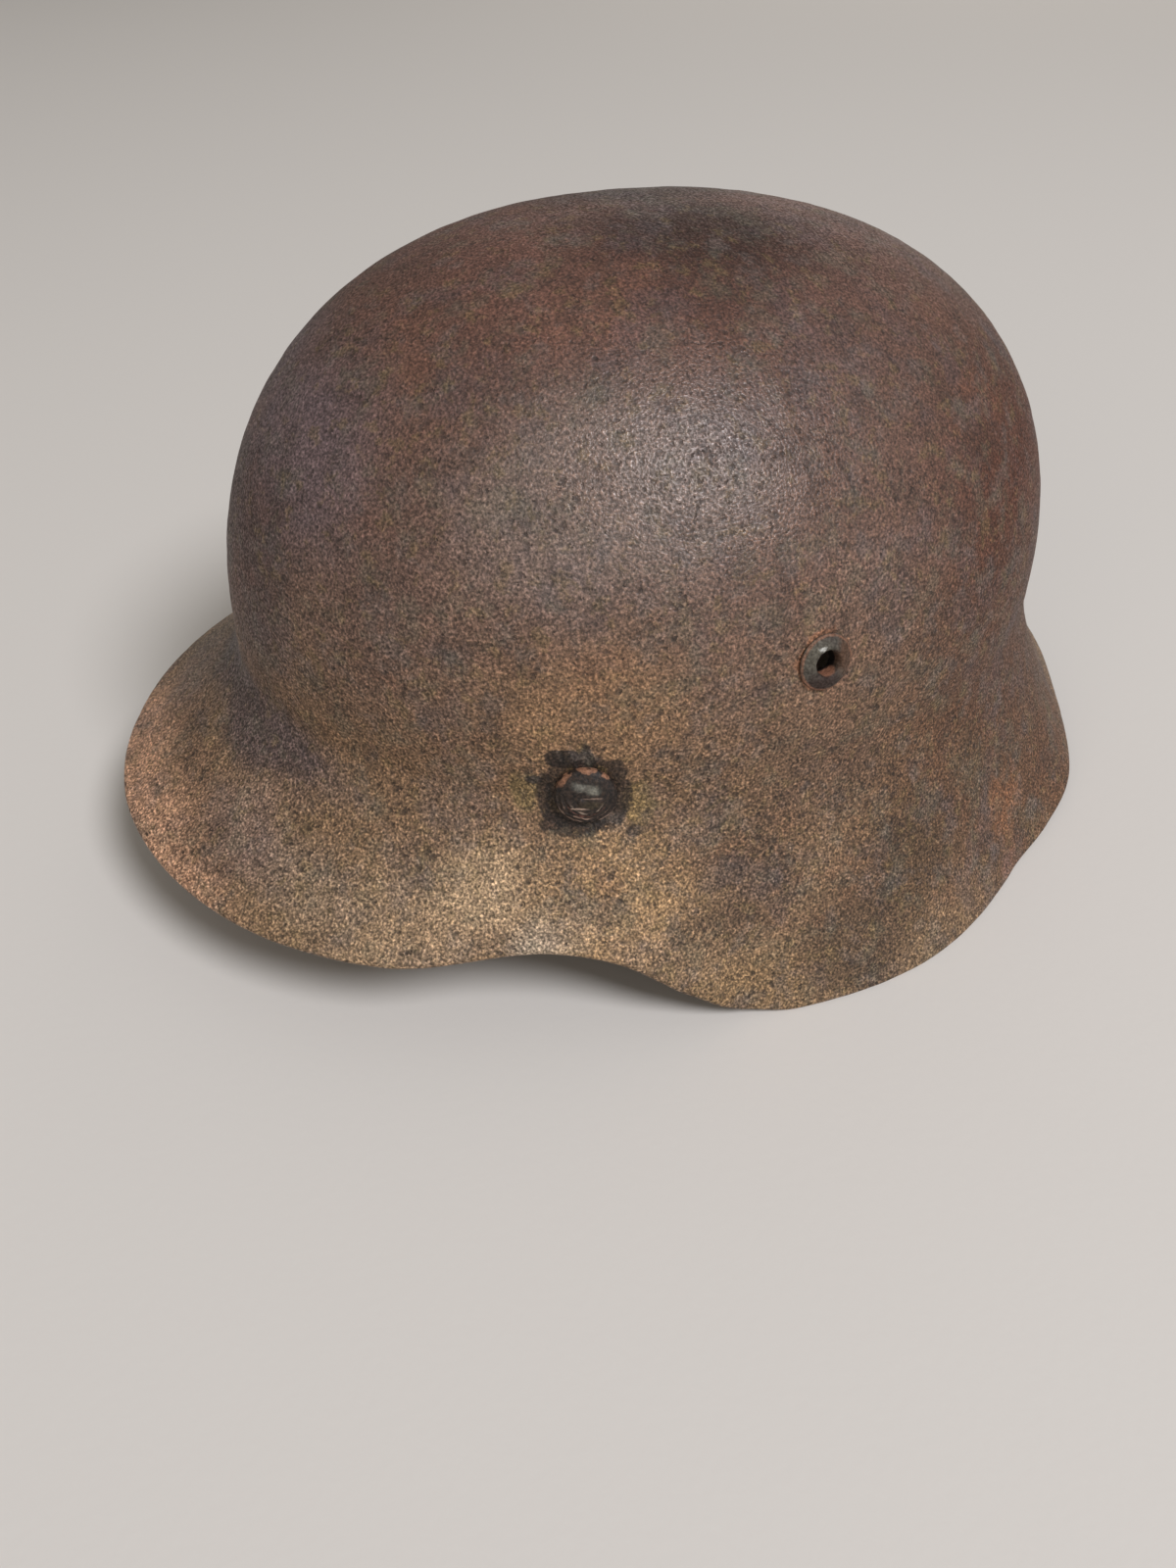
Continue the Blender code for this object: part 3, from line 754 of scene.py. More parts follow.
# Grain and pits of the rusted sheet, in millimetres. A pair gives a range's two ends. The contrast of the
# grain and the strength of the pits are given at the lower and the upper of the grain's two heights. Stops
# are the places of a ramp's colours, from 0 to 1.
GRAIN = Texture(width=0.62, detail=1.5, roughness=0.6)
GRAIN_TINT = 0.10
GRAIN_HEIGHTS = (50.0, 135.0)
GRAIN_CONTRAST = (4.2, 2.4)
GRAIN_DIMMING = 0.96
GRAIN_BUMP = 0.22 * MM
CLUMP = Texture(width=2.1, detail=2.0, roughness=0.6)
CLUMP_SHARE = 0.25
PIT_SPACING = 1.7
PIT_NUDGE = 1.6
PIT_SIZES = (0.18, 0.56)
PIT_SHOWN = (0.62, 0.45)
PIT_BUMP = 0.10 * MM
CRATER_SLOPE = (-0.10, 0.16)
CROWD = Texture(width=11.0, detail=3.0, roughness=0.6)
WARP = Texture(width=26.0, detail=3.0, roughness=0.6)
WARP_REACH = 7.0
RUST_STOPS = (0.10, 0.38, 0.66, 0.98)
RUST_ROUGHNESS = (0.62, 0.22)
RUST_SPECULAR = 0.38

# Parts of a noise's range that are spread over another range
FULL_RANGE = (0.0, 1.0)
MIDDLE_NOISE = (0.35, 0.65)
GLINT_NOISE = (0.35, 0.70)
FLECK_NOISE = (0.30, 0.70)

# The oxide is smoother on each side of the dome than elsewhere. The change of roughness is given for
# elsewhere, then for there.
RUBBED_PLACE = (64.0, -16.0, 122.0)
RUBBED_REACH = (36.0, 50.0, 38.0)
ROUGHNESS_CHANGE = (0.14, -0.02)

# The finer layers of the noise that spreads the patches
PATCH_DETAIL = 4.0
PATCH_ROUGHNESS = 0.65

# Patches of other oxides: width in millimetres, and the noise levels between which they set in
OxidePatch = namedtuple("OxidePatch", "name width shift low high colour strength")
OXIDE_PATCHES = [
    OxidePatch("orange_bloom", 30.0, 11.0, 0.52, 0.70, "#78503c", 0.25),
    OxidePatch("umber_patch", 12.0, 47.0, 0.50, 0.64, "#3c2e27", 0.35),
    OxidePatch("grey_patch", 8.0, 83.0, 0.52, 0.66, "#625c58", 0.30),
    OxidePatch("blue_haze", 17.0, 61.0, 0.50, 0.64, "#544f55", 0.20),
    OxidePatch("green_grey", 9.0, 39.0, 0.52, 0.66, "#5b594a", 0.30),
    OxidePatch("olive_fleck", 4.5, 23.0, 0.54, 0.66, "#6e5d3c", 0.35),
]

# Marks round the fittings: place and reach in millimetres across, up and out from the fitting's middle.
# Square is the exponent of the mark's outline, 2 for round and more for squarer, and it is an even number.
FittingMark = namedtuple("FittingMark", "name fitting across up reach square blur colour strength")
FITTING_MARKS = [
    FittingMark("yellow_stain", "side_pins", 11.6, -3.2, (3.6, 5.6, 12.0), 2, 0.5, "#80703f", 0.36),
    FittingMark("green_stain", "side_pins", -13.5, 0.0, (3.5, 5.0, 12.0), 2, 0.5, "#6c6238", 0.40),
    FittingMark("dark_halo", "side_pins", 0.3, 0.2, (9.0, 9.1, 12.0), 4, 0.18, "#2a211b", 0.85),
    FittingMark("halo_top", "side_pins", -3.4, 8.4, (5.4, 2.2, 12.0), 4, 0.2, "#1d1713", 0.90),
    FittingMark("halo_foot", "side_pins", -2.2, -8.0, (8.0, 2.6, 12.0), 2, 0.3, "#211a16", 0.85),
    FittingMark("halo_left", "side_pins", -9.0, -1.0, (1.6, 6.0, 12.0), 2, 0.3, "#211a16", 0.80),
    FittingMark("dark_spur", "side_pins", -11.2, 2.6, (2.2, 1.1, 12.0), 2, 0.4, "#221b17", 0.85),
    FittingMark("top_spike", "side_pins", 0.0, 11.0, (1.1, 1.6, 12.0), 2, 0.4, "#221b17", 0.85),
    FittingMark("dark_streak", "side_pins", 10.6, -9.6, (1.8, 1.3, 12.0), 2, 0.6, "#33291f", 0.75),
    FittingMark("rear_halo", "rear_pin", 0.4, -0.6, (9.4, 10.6, 12.0), 4, 0.22, "#2e251f", 0.88),
    FittingMark("orange_line", "bushings", 0.0, 0.0, (6.8, 6.8, 12.0), 2, 0.14, "#9a6c50", 0.60),
]
HALO_OUTLINE = Texture(width=3.1, detail=2.0, roughness=0.5)
HALO_RAG = 0.9


def fitting_mask(node, place, mark, placement, rag):
    """A mark's strength, drawn in the frame of the fitting that it surrounds."""
    spot = placement @ Vector((mark.across * MM, mark.up * MM, 0.0)) / MM
    offset = vector_node(node, "SUBTRACT", place, spot)
    shares = []
    for direction, reach in zip(placement.to_3x3().transposed(), mark.reach):
        along = vector_node(node, "DOT_PRODUCT", offset, direction / reach).outputs["Value"]
        shares.append(math_node(node, "POWER", along, mark.square))
    total = shares[0]
    for part in (shares[1], shares[2], rag):
        total = math_node(node, "ADD", total, part)
    return remap(node, total, (1.0 + mark.blur, 1.0 - mark.blur), (0.0, mark.strength), "SMOOTHSTEP")


def rusted_sheet_steel(colours, seats):
    """Pressed sheet steel, rusted all over: a dry, finely pitted iron-oxide skin.

    The oxide is matte, with tan and olive grains over near-black pits, and a few grains that still glint.
    """
    finish, node = new_material("rusted_sheet_steel", colours.mid_rust)
    place = place_in_mm(node)

    # Slow wandering of every zone's outline
    drift = about_zero(node, noise_node(node, place, WARP).outputs["Color"])
    wandered = vector_node(node, "ADD", place, vector_node(node, "SCALE", drift, 2.0 * WARP_REACH))
    parts = node("ShaderNodeSeparateXYZ", {"Vector": wandered}).outputs
    folded_x = math_node(node, "ABSOLUTE", parts["X"])
    folded = node("ShaderNodeCombineXYZ", {"X": folded_x, "Y": parts["Y"], "Z": parts["Z"]})

    # The tone by height: ochre at the hem, brown on the walls, red-brown on the crown
    climb = remap(node, parts["Z"], (0.0, SHELL_HEIGHT / MM))
    tone = ramp_node(node, climb, RUST_STOPS,
                     (colours.hem_ochre, colours.low_rust, colours.mid_rust, colours.crown_rust))
    # Zones of rust tone, some of them with painted shade or a painted sheen
    for zone in RUST_ZONES:
        mask = zone_mask(node, folded, zone.place, zone.reach, zone.strength)
        tone = mix_colours(node, mask, tone, rgba(zone.colour))

    # Marks round the fittings
    rag = remap(node, noise_node(node, place, HALO_OUTLINE), FULL_RANGE, (-HALO_RAG, HALO_RAG))
    for mark in FITTING_MARKS:
        for placement in seats[mark.fitting]:
            mask = fitting_mask(node, place, mark, placement, rag)
            tone = mix_colours(node, mask, tone, rgba(mark.colour))

    # Blooms and patches of other oxides, a few millimetres to a few centimetres wide
    for patch in OXIDE_PATCHES:
        shifted = vector_node(node, "ADD", place, (patch.shift,) * 3)
        spread = noise_node(node, shifted, Texture(patch.width, PATCH_DETAIL, PATCH_ROUGHNESS))
        mask = remap(node, spread, (patch.low, patch.high), (0.0, patch.strength), "SMOOTHSTEP")
        tone = mix_colours(node, mask, tone, rgba(patch.colour))

    # Grains: every grain of oxide has its own shade and tint, bolder low down than on the smoother crown
    contrast = remap(node, parts["Z"], GRAIN_HEIGHTS, GRAIN_CONTRAST)
    grain = noise_node(node, place, GRAIN)
    clump = noise_node(node, place, CLUMP)
    tinge = about_zero(node, mix_colours(node, GRAIN_TINT, grain, grain.outputs["Color"]))
    level = math_node(node, "MULTIPLY_ADD", clump, CLUMP_SHARE, -0.5 * (1.0 + CLUMP_SHARE))
    level = math_node(node, "ADD", level, grain)
    level = math_node(node, "MULTIPLY", level, contrast)
    gain = math_node(node, "MULTIPLY", math_node(node, "EXPONENT", level), GRAIN_DIMMING)
    tone = vector_node(node, "MULTIPLY", tone, vector_node(node, "ADD", tinge, (1.0, 1.0, 1.0)))
    tone = vector_node(node, "SCALE", tone, gain)

    # Pits: small dark craters of all sizes, in crowds a centimetre wide
    nudged = vector_node(node, "ADD", vector_node(node, "SCALE", tinge, PIT_NUDGE), place)
    pits = node("ShaderNodeTexVoronoi", {"Vector": nudged, "Scale": 1.0 / PIT_SPACING})
    chance = node("ShaderNodeSeparateColor", {"Color": pits.outputs["Color"]}).outputs["Red"]
    crowd = remap(node, noise_node(node, place, CROWD), MIDDLE_NOISE, PIT_SIZES)
    crater = math_node(node, "MULTIPLY", chance, crowd)
    crater = math_node(node, "SUBTRACT", crater, pits.outputs["Distance"])
    crater = remap(node, crater, CRATER_SLOPE, interpolation_type="SMOOTHSTEP")
    pit = math_node(node, "MULTIPLY", crater, remap(node, parts["Z"], GRAIN_HEIGHTS, PIT_SHOWN))
    tone = mix_colours(node, pit, tone, opaque(colours.pit_black))

    # Sheen: brighter grains are smoother, and so is the oxide on each side of the dome
    gloss = remap(node, grain, GLINT_NOISE, RUST_ROUGHNESS)
    rubbed = zone_mask(node, folded, RUBBED_PLACE, RUBBED_REACH, 1.0)
    gloss = math_node(node, "ADD", gloss, remap(node, rubbed, FULL_RANGE, ROUGHNESS_CHANGE))
    pit_floor = math_node(node, "MULTIPLY", crater, -PIT_BUMP)
    height = math_node(node, "MULTIPLY_ADD", grain, GRAIN_BUMP, pit_floor)
    close_surface(node, height, {"Base Color": tone, "Roughness": gloss, "Specular IOR Level": RUST_SPECULAR})
    return finish


# Marks on a fitting's face in its own frame, in millimetres across, up and out. Ring is the share of the
# reach at which a mark lies, 0 for a patch. Core and rim are where it is full and gone, as shares of the
# reach. Rag says how far its outline wanders, and fade gives the heights at which it is gone and full: left
# out, it shows at all heights.
FaceMark = namedtuple("FaceMark", "name place reach ring core rim rag colour strength fade",
                      defaults=[(-99.0, -98.0)])
BUSHING_MARKS = [
    # Rubbed grey steel on the ring's upper side, partly a painted sheen where the light catches it
    FaceMark("rubbed_grey_and_sheen", (-2.6, 2.4, 1.0), (4.6, 4.2, 4.0), 0, 0.35, 1.15, 0.50, "#5b574d", 0.85),
    # A painted glint: a small bright spot on the ring's top
    FaceMark("painted_glint", (-1.4, 3.7, 1.0), (2.0, 1.2, 4.0), 0, 0.20, 0.80, 1.40, "#c4c4be", 0.85),
    # Painted shade: dark purple-brown on the ring's lower side
    FaceMark("low_painted_shade", (-0.8, -4.0, 0.8), (5.4, 3.4, 4.0), 0, 0.40, 1.15, 0.50, "#3a2e2a", 0.90),
    FaceMark("rear_brown", (4.4, 0.4, 0.8), (3.4, 5.8, 4.0), 0, 0.40, 1.15, 0.50, "#584234", 0.90),
    FaceMark("edge_rust", (0.0, 0.0, 0.0), (6.1, 6.1, 30.0), 1, 0.0, 0.07, 0.05, "#8e6752", 0.70),
    # Painted shade: the bore's walls near-black
    FaceMark("bore_painted_shade", (0.0, 0.0, -2.0), (3.5, 3.5, 2.6), 0, 0.90, 1.05, 0.05, "#120e0c", 0.95),
    # Orange rust on the bore's lower wall, painted bright where light reaches into the bore
    FaceMark("bore_rust_painted_light", (0.5, -2.6, -0.3), (2.7, 1.4, 1.7), 0, 0.60, 1.10, 0.30, "#9a6c55", 0.90),
]
PIN_MARKS = [
    FaceMark("rim_crescent", (0.2, 0.0, 0.3), (6.9, 6.75, 6.0), 1, 0.0, 0.06, 0.28, "#94694f", 0.75,
             (1.8, 4.2)),
    FaceMark("worn_left", (-1.1, 3.4, 2.6), (2.5, 1.3, 4.0), 0, 0.30, 1.10, 0.80, "#75736a", 0.80),
    FaceMark("worn_right", (1.6, 2.7, 2.6), (1.7, 1.7, 4.0), 0, 0.30, 1.10, 0.70, "#7b796e", 0.80),
    FaceMark("pale_seam", (1.4, 0.4, 3.0), (2.6, 0.26, 4.0), 0, 0.30, 1.20, 0.60, "#8a7466", 0.60),
    FaceMark("olive_middle", (1.4, -1.2, 3.0), (3.0, 1.2, 4.0), 0, 0.40, 1.20, 0.35, "#3f3524", 0.65),
    FaceMark("bright_seam", (-1.5, -2.3, 2.6), (2.6, 0.26, 4.0), 0, 0.30, 1.20, 0.90, "#a8907f", 0.80),
    FaceMark("upper_ledge", (0.3, 0.8, 2.4), (3.9, 4.3, 9.0), 1, 0.0, 0.06, 0.22, "#8f7c6d", 0.70,
             (-0.8, -2.4)),
    FaceMark("red_ledge", (0.2, 0.6, 2.0), (4.6, 4.9, 9.0), 1, 0.0, 0.08, 0.20, "#6e463c", 0.70,
             (-1.0, -2.6)),
    FaceMark("lower_ledge", (0.2, 0.4, 1.6), (5.4, 5.6, 9.0), 1, 0.0, 0.05, 0.16, "#8d7263", 0.70,
             (-1.0, -3.0)),
    FaceMark("rim_ledge", (0.2, 0.0, 0.6), (6.6, 6.5, 9.0), 1, 0.0, 0.05, 0.10, "#a1887a", 0.75,
             (-1.5, -4.0)),
]


def add_face_marks(node, place, ragged, marks, tone):
    """Lays a fitting's marks over its tone, one after another."""
    height_on_face = node("ShaderNodeSeparateXYZ", {"Vector": place}).outputs["Y"]
    for mark in marks:
        distance = relative_distance(node, place, mark.place, mark.reach)
        off_line = math_node(node, "SUBTRACT", distance, mark.ring)
        off_line = math_node(node, "ABSOLUTE", off_line)
        off_line = math_node(node, "MULTIPLY_ADD", ragged, mark.rag, off_line)
        mask = remap(node, off_line, (mark.rim, mark.core), (0.0, mark.strength), "SMOOTHSTEP")
        mask = math_node(node, "MULTIPLY", mask, remap(node, height_on_face, mark.fade))
        tone = mix_colours(node, mask, tone, rgba(mark.colour))
    return tone


# The bushing's noises and finish
TARNISH = Texture(width=2.4, detail=4.0, roughness=0.65)
BUSHING_SPECK = Texture(width=0.55, detail=2.0, roughness=0.5)
BUSHING_BUMP = 0.18 * MM
BUSHING_STOPS = (0.36, 0.64)
BUSHING_FLECK = (0.62, 1.40)
BUSHING_ROUGHNESS = (0.80, 0.56)
BUSHING_METAL = 0.25
BUSHING_SPECULAR = 0.22


def worn_bushing_steel(colours):
    """Turned steel eyelet, worn and oxidised: it only glimmers, dull in its dents and brown at its edge."""
    finish, node = new_material("worn_bushing_steel", colours.bare_steel)
    place = place_in_mm(node)
    tarnish = noise_node(node, place, TARNISH)
    speck = noise_node(node, place, BUSHING_SPECK)
    ragged = remap(node, tarnish, FULL_RANGE, (-1.0, 1.0))
    tone = ramp_node(node, tarnish, BUSHING_STOPS, (colours.dull_steel, colours.bare_steel))
    # Wear and rust marks, with painted shade low and in the bore and a painted glint and sheen on top
    tone = add_face_marks(node, place, ragged, BUSHING_MARKS, tone)
    tone = vector_node(node, "SCALE", tone, remap(node, speck, FLECK_NOISE, BUSHING_FLECK))
    rough = remap(node, speck, MIDDLE_NOISE, BUSHING_ROUGHNESS)
    height = math_node(node, "MULTIPLY", speck, BUSHING_BUMP)
    close_surface(node, height, {"Base Color": tone, "Metallic": BUSHING_METAL, "Roughness": rough,
                                 "Specular IOR Level": BUSHING_SPECULAR})
    return finish


# The pin's noises and finish
PIN_CRUMB = Texture(width=0.7, detail=3.0, roughness=0.6)
PIN_BLOTCH = Texture(width=2.6, detail=3.0, roughness=0.5)
PIN_BUMP = 0.22 * MM
PIN_STOPS = (0.34, 0.66)
PIN_FLECK = (0.45, 1.65)
PIN_ROUGHNESS = (0.78, 0.52)
PIN_METAL = 0.15


def corroded_pin_steel(colours):
    """Soft steel pin, rusted in leaves: near-black oxide, rubbed grey on top and orange at its rim."""
    finish, node = new_material("corroded_pin_steel", colours.pin_black)
    place = place_in_mm(node)
    crumb = noise_node(node, place, PIN_CRUMB)
    blotch = noise_node(node, place, PIN_BLOTCH)
    ragged = remap(node, blotch, FULL_RANGE, (-1.0, 1.0))
    tone = ramp_node(node, crumb, PIN_STOPS, (colours.pin_black, colours.pin_brown))
    tone = add_face_marks(node, place, ragged, PIN_MARKS, tone)
    tone = vector_node(node, "SCALE", tone, remap(node, crumb, FLECK_NOISE, PIN_FLECK))
    rough = remap(node, blotch, MIDDLE_NOISE, PIN_ROUGHNESS)
    height = math_node(node, "MULTIPLY", crumb, PIN_BUMP)
    close_surface(node, height, {"Base Color": tone, "Metallic": PIN_METAL, "Roughness": rough})
    return finish


STIPPLE = Texture(width=2.5, detail=2.0, roughness=0.5)
STIPPLE_BUMP = 0.04 * MM
FLOOR_ROUGHNESS = 0.85


def studio_floor_paint(colours):
    """Matt emulsion on board, rolled on: a pale, even floor with a trace of roller stipple."""
    finish, node = new_material("studio_floor_paint", colours.floor_pale)
    stipple = noise_node(node, place_in_mm(node), STIPPLE)
    height = math_node(node, "MULTIPLY", stipple, STIPPLE_BUMP)
    close_surface(node, height, {"Base Color": opaque(colours.floor_pale), "Roughness": FLOOR_ROUGHNESS})
    return finish


# The camera stands where the photograph's did, worked out from the helmet's outline in it
CAMERA_PLACE = Vector((0.2568, -0.1187, 0.2275))
CAMERA_HEADING = 67.51
CAMERA_PITCH = 40.63
CAMERA_LENS = 27.045
CAMERA_FILM = 36.0
CAMERA_NEAR = 0.01

# Soft lamps: their direction from the helmet's middle, distance, size across and power
Lamp = namedtuple("Lamp", "name direction distance width power tint")
LAMP_AIM = Vector((0.03, 0.0, 0.09))
LAMPS = [
    Lamp("ceiling_panel", (0.62, 0.21, 0.75), 3.60, 1.25, 110.0, "#fafaff"),
    Lamp("front_fill", (0.55, -0.75, 0.35), 2.60, 1.60, 9.0, "#fff2e6"),
    Lamp("back_fill", (-0.75, 0.55, 0.22), 2.60, 1.80, 6.0, "#fff6ee"),
]
WORLD_STRENGTH = 0.35


class HelmetSheetSize(bpy.types.PropertyGroup):
    """Sizes of the pressed sheet, measured on its outside."""
    height: bpy.props.FloatProperty(
        name="Height", description="From the floor to the crown", default=SHELL_HEIGHT, unit="LENGTH")
    waist_height: bpy.props.FloatProperty(
        name="Waist height", description="Where the dome's wall starts to flare",
        default=0.060, unit="LENGTH")
    dome_front: bpy.props.FloatProperty(
        name="Dome front", description="Dome's reach forwards", default=0.1055, unit="LENGTH")
    dome_rear: bpy.props.FloatProperty(
        name="Dome rear", description="Dome's reach backwards", default=0.116, unit="LENGTH")
    dome_half_width: bpy.props.FloatProperty(
        name="Dome half width", description="Dome's reach to each side", default=0.089, unit="LENGTH")
    crown_lean: bpy.props.FloatProperty(
        name="Crown lean", description="How far the crown lies forward", default=0.003, unit="LENGTH")
    visor_reach: bpy.props.FloatProperty(
        name="Visor reach", description="How far the visor stands out", default=0.036, unit="LENGTH")
    skirt_reach: bpy.props.FloatProperty(
        name="Skirt reach", description="How far the side skirts stand out", default=0.0225, unit="LENGTH")
    neck_reach: bpy.props.FloatProperty(
        name="Neck reach", description="How far the neck guard stands out", default=0.0255, unit="LENGTH")
    visor_lift: bpy.props.FloatProperty(
        name="Visor lift", description="The visor's height above the floor", default=0.026, unit="LENGTH")
    neck_lift: bpy.props.FloatProperty(
        name="Neck lift", description="The neck guard's height above the floor",
        default=0.013, unit="LENGTH")
    wall: bpy.props.FloatProperty(
        name="Sheet thickness", description="Thickness of the steel", default=0.0012, unit="LENGTH")
    hem_radius: bpy.props.FloatProperty(
        name="Hem radius", description="Outer radius of the rolled hem", default=0.0015, unit="LENGTH")
    hem_leg: bpy.props.FloatProperty(
        name="Hem leg", description="Length of sheet folded back inside", default=0.0045, unit="LENGTH")
    stand_wear: bpy.props.FloatProperty(
        name="Stand wear", description="How much the hem is worn flat where it stands", default=0.0002,
        unit="LENGTH")


class HelmetBushingSize(bpy.types.PropertyGroup):
    """Sizes of the air bushings."""
    bearing: bpy.props.FloatProperty(
        name="Bearing", description="How far round the helmet from the visor", default=math.radians(94.0),
        subtype="ANGLE")
    height: bpy.props.FloatProperty(
        name="Height", description="Height above the floor", default=0.0855, unit="LENGTH")
    bore_radius: bpy.props.FloatProperty(
        name="Bore radius", description="Radius of the air hole", default=0.0029, unit="LENGTH")
    tube_wall: bpy.props.FloatProperty(
        name="Tube wall", description="Thickness of the tube through the sheet",
        default=0.0007, unit="LENGTH")
    flange_radius: bpy.props.FloatProperty(
        name="Flange radius", description="Radius of the outer ring", default=0.0062, unit="LENGTH")
    flange_rise: bpy.props.FloatProperty(
        name="Flange rise", description="Height of the outer ring", default=0.0014, unit="LENGTH")
    lip_radius: bpy.props.FloatProperty(
        name="Lip radius", description="Radius of the lip turned out inside", default=0.0050, unit="LENGTH")
    lip_thickness: bpy.props.FloatProperty(
        name="Lip thickness", description="Thickness of the inner lip", default=0.0006, unit="LENGTH")


class HelmetPinSize(bpy.types.PropertyGroup):
    """Sizes of the liner's split pins."""
    bearing: bpy.props.FloatProperty(
        name="Bearing", description="How far round the helmet the two front pins stand",
        default=math.radians(60.0), subtype="ANGLE")
    height: bpy.props.FloatProperty(
        name="Height", description="Height above the floor", default=0.0605, unit="LENGTH")
    head_radius: bpy.props.FloatProperty(
        name="Head radius", description="Radius of the domed head", default=0.0070, unit="LENGTH")
    head_rise: bpy.props.FloatProperty(
        name="Head rise", description="Height of the domed head", default=0.0031, unit="LENGTH")
    head_edge: bpy.props.FloatProperty(
        name="Head edge", description="Height of the head's upright rim", default=0.0006, unit="LENGTH")
    shank_radius: bpy.props.FloatProperty(
        name="Shank radius", description="Radius of the shank through the sheet",
        default=0.0023, unit="LENGTH")
    leg_reach: bpy.props.FloatProperty(
        name="Leg reach", description="Length of each bent leg", default=0.0130, unit="LENGTH")
    leg_width: bpy.props.FloatProperty(
        name="Leg width", description="Width of each bent leg", default=0.0042, unit="LENGTH")
    leg_thickness: bpy.props.FloatProperty(
        name="Leg thickness", description="Thickness of each bent leg", default=0.0010, unit="LENGTH")
    knuckle: bpy.props.FloatProperty(
        name="Knuckle", description="How far the shank stands past the legs", default=0.0004, unit="LENGTH")


class HelmetColours(bpy.types.PropertyGroup):
    """Colours of the finishes, written as sRGB hex values."""
    hem_ochre: bpy.props.FloatVectorProperty(
        name="Hem ochre", description="Rust near the hem", subtype="COLOR", default=linear("#826a50"))
    low_rust: bpy.props.FloatVectorProperty(
        name="Low rust", description="Rust round the waist", subtype="COLOR", default=linear("#745b44"))
    mid_rust: bpy.props.FloatVectorProperty(
        name="Mid rust", description="Rust on the dome's walls", subtype="COLOR", default=linear("#685145"))
    crown_rust: bpy.props.FloatVectorProperty(
        name="Crown rust", description="Rust on the crown", subtype="COLOR", default=linear("#5a4036"))
    pit_black: bpy.props.FloatVectorProperty(
        name="Pit black", description="Oxide in the pits", subtype="COLOR", default=linear("#261e1a"))
    bare_steel: bpy.props.FloatVectorProperty(
        name="Bare steel", description="Rubbed steel of the bushings", subtype="COLOR",
        default=linear("#55514a"))
    dull_steel: bpy.props.FloatVectorProperty(
        name="Dull steel", description="Tarnish in the bushings' dents", subtype="COLOR",
        default=linear("#3f3733"))
    pin_black: bpy.props.FloatVectorProperty(
        name="Pin black", description="Dense oxide on the pins", subtype="COLOR", default=linear("#17120f"))
    pin_brown: bpy.props.FloatVectorProperty(
        name="Pin brown", description="Crumbs of oxide on the pins", subtype="COLOR",
        default=linear("#31261f"))
    floor_pale: bpy.props.FloatVectorProperty(
        name="Floor", description="Paint of the studio floor", subtype="COLOR", default=linear("#d8d4ce"))


class HELMET_OT_make_bushings(bpy.types.Operator):
    """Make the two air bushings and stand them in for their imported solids"""
    bl_idname = "helmet.make_bushings"
    bl_label = "Air bushings"

    def execute(self, context):
        scene = context.scene
        finish = worn_bushing_steel(scene.helmet_colours)
        sheet = Sheet(scene.helmet_sheet)
        for side, sign, seed in (("left", 1.0, 3.0), ("right", -1.0, 11.0)):
            bearing = sign * math.degrees(scene.helmet_bushing.bearing)
            bushing = make_bushing(sheet, scene.helmet_bushing, "air_bushing_" + side, bearing, seed, finish)
            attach(bushing, "root")
            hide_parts("vent_bushing_" + side)
        return {"FINISHED"}


class HELMET_OT_make_pins(bpy.types.Operator):
    """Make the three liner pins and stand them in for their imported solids"""
    bl_idname = "helmet.make_pins"
    bl_label = "Liner pins"

    def execute(self, context):
        scene = context.scene
        finish = corroded_pin_steel(scene.helmet_colours)
        sheet = Sheet(scene.helmet_sheet)
        front = math.degrees(scene.helmet_pin.bearing)
        for side, bearing, seed in (("left", front, 5.0), ("right", -front, 17.0), ("rear", 180.0, 29.0)):
            pin = make_pin(sheet, scene.helmet_pin, "split_pin_" + side, bearing, seed, finish)
            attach(pin, "root")
            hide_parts("liner_pin_" + side)
        return {"FINISHED"}


class HELMET_OT_make_shell(bpy.types.Operator):
    """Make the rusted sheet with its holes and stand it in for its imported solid"""
    bl_idname = "helmet.make_shell"
    bl_label = "Rusted shell"

    def execute(self, context):
        scene = context.scene
        sheet = Sheet(scene.helmet_sheet)
        bushing, pin = scene.helmet_bushing, scene.helmet_pin
        bushing_hole = bushing.bore_radius + bushing.tube_wall + SEAT_GAP
        pin_hole = pin.shank_radius + SEAT_GAP
        beside, front = math.degrees(bushing.bearing), math.degrees(pin.bearing)
        bushing_seats = [sheet.seat(bearing, bushing.height, bushing.flange_radius)
                         for bearing in (beside, -beside)]
        pin_seats = [sheet.seat(bearing, pin.height, pin.head_radius) for bearing in (front, -front, 180.0)]
        holes = [("bushing", placement, bushing_hole) for placement in bushing_seats]
        holes += [("pin", placement, pin_hole) for placement in pin_seats]
        seats = {"bushings": bushing_seats, "side_pins": pin_seats[:2], "rear_pin": pin_seats[2:]}
        finish = rusted_sheet_steel(scene.helmet_colours, seats)
        shell = make_shell(sheet, holes, finish)
        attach(shell, "root")
        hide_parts("helmet_shell")
        return {"FINISHED"}


FLOOR_RADIUS = 6.0
FLOOR_SIDES = 96


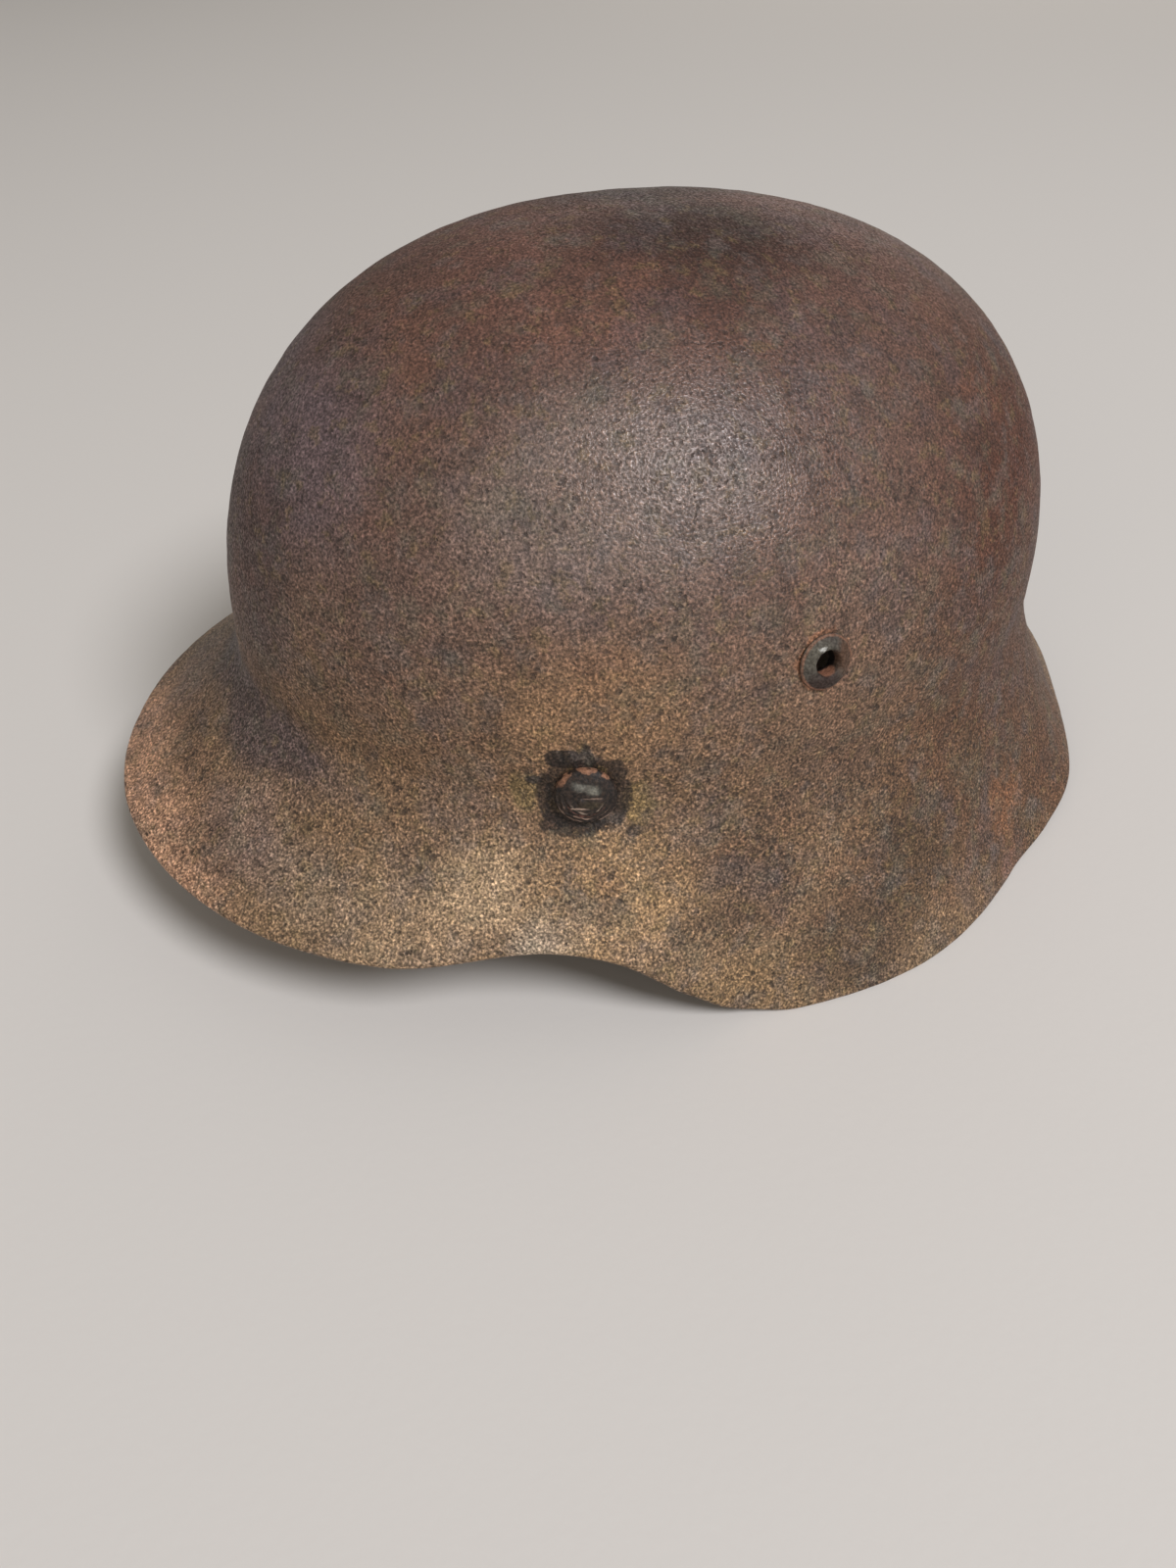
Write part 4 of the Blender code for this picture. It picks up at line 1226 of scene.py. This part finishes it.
class HELMET_OT_make_stage(bpy.types.Operator):
    """Make the pale floor, the soft lamps, the backdrop light and the camera"""
    bl_idname = "helmet.make_stage"
    bl_label = "Studio stage"

    def execute(self, context):
        colours = context.scene.helmet_colours
        angles = [2.0 * math.pi * i / FLOOR_SIDES for i in range(FLOOR_SIDES)]
        points = [(FLOOR_RADIUS * math.cos(a), FLOOR_RADIUS * math.sin(a), 0.0) for a in angles]
        floor = add_piece("studio_floor", points, [tuple(range(FLOOR_SIDES))], studio_floor_paint(colours))

        for lamp in LAMPS:
            light = bpy.data.lights.new(lamp.name, "AREA")
            light.shape = "DISK"
            light.size = lamp.width
            light.energy = lamp.power
            light.color = linear(lamp.tint)
            holder = bpy.data.objects.new(lamp.name, light)
            holder.location = LAMP_AIM + Vector(lamp.direction).normalized() * lamp.distance
            holder.rotation_euler = (LAMP_AIM - holder.location).to_track_quat("-Z", "Y").to_euler()
            context.scene.collection.objects.link(holder)

        world = bpy.data.worlds.new("studio_air")
        world.use_nodes = True
        background = world.node_tree.nodes["Background"]
        background.inputs["Color"].default_value = opaque(colours.floor_pale)
        background.inputs["Strength"].default_value = WORLD_STRENGTH
        context.scene.world = world
        context.scene.view_settings.view_transform = "Standard"

        camera_data = bpy.data.cameras.new("camera")
        camera_data.sensor_fit = "VERTICAL"
        camera_data.sensor_height = CAMERA_FILM
        camera_data.lens = CAMERA_LENS
        camera_data.clip_start = CAMERA_NEAR
        camera = bpy.data.objects.new("camera", camera_data)
        camera.location = CAMERA_PLACE
        turn = Matrix.Rotation(math.radians(CAMERA_HEADING), 4, "Z")
        tilt = Matrix.Rotation(math.radians(90.0 - CAMERA_PITCH), 4, "X")
        camera.rotation_euler = (turn @ tilt).to_euler()
        context.scene.collection.objects.link(camera)
        context.scene.camera = camera
        return {"FINISHED"}


class HELMET_PT_sidebar(bpy.types.Panel):
    """Lists the steps that dress the helmet, and the sizes and colours that they use"""
    bl_idname = "HELMET_PT_sidebar"
    bl_label = "Relic helmet"
    bl_space_type = "VIEW_3D"
    bl_region_type = "UI"
    bl_category = "Helmet"

    def draw(self, context):
        for step in STEPS:
            self.layout.operator(step.bl_idname)
        for group in SETTINGS:
            box = self.layout.box()
            settings = getattr(context.scene, group)
            for name in settings.bl_rna.properties.keys():
                if name not in ("rna_type", "name"):
                    box.prop(settings, name)


SETTINGS = {
    "helmet_sheet": HelmetSheetSize,
    "helmet_bushing": HelmetBushingSize,
    "helmet_pin": HelmetPinSize,
    "helmet_colours": HelmetColours,
}
STEPS = (HELMET_OT_make_bushings, HELMET_OT_make_pins, HELMET_OT_make_shell, HELMET_OT_make_stage)


def register():
    for cls in (*SETTINGS.values(), *STEPS, HELMET_PT_sidebar):
        bpy.utils.register_class(cls)
    for name, group in SETTINGS.items():
        setattr(bpy.types.Scene, name, bpy.props.PointerProperty(type=group))


def unregister():
    for name in SETTINGS:
        delattr(bpy.types.Scene, name)
    for cls in reversed((*SETTINGS.values(), *STEPS, HELMET_PT_sidebar)):
        bpy.utils.unregister_class(cls)


def main():
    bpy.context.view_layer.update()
    register()
    bpy.ops.helmet.make_bushings()
    bpy.ops.helmet.make_pins()
    bpy.ops.helmet.make_shell()
    bpy.ops.helmet.make_stage()


if __name__ == "__main__":
    main()
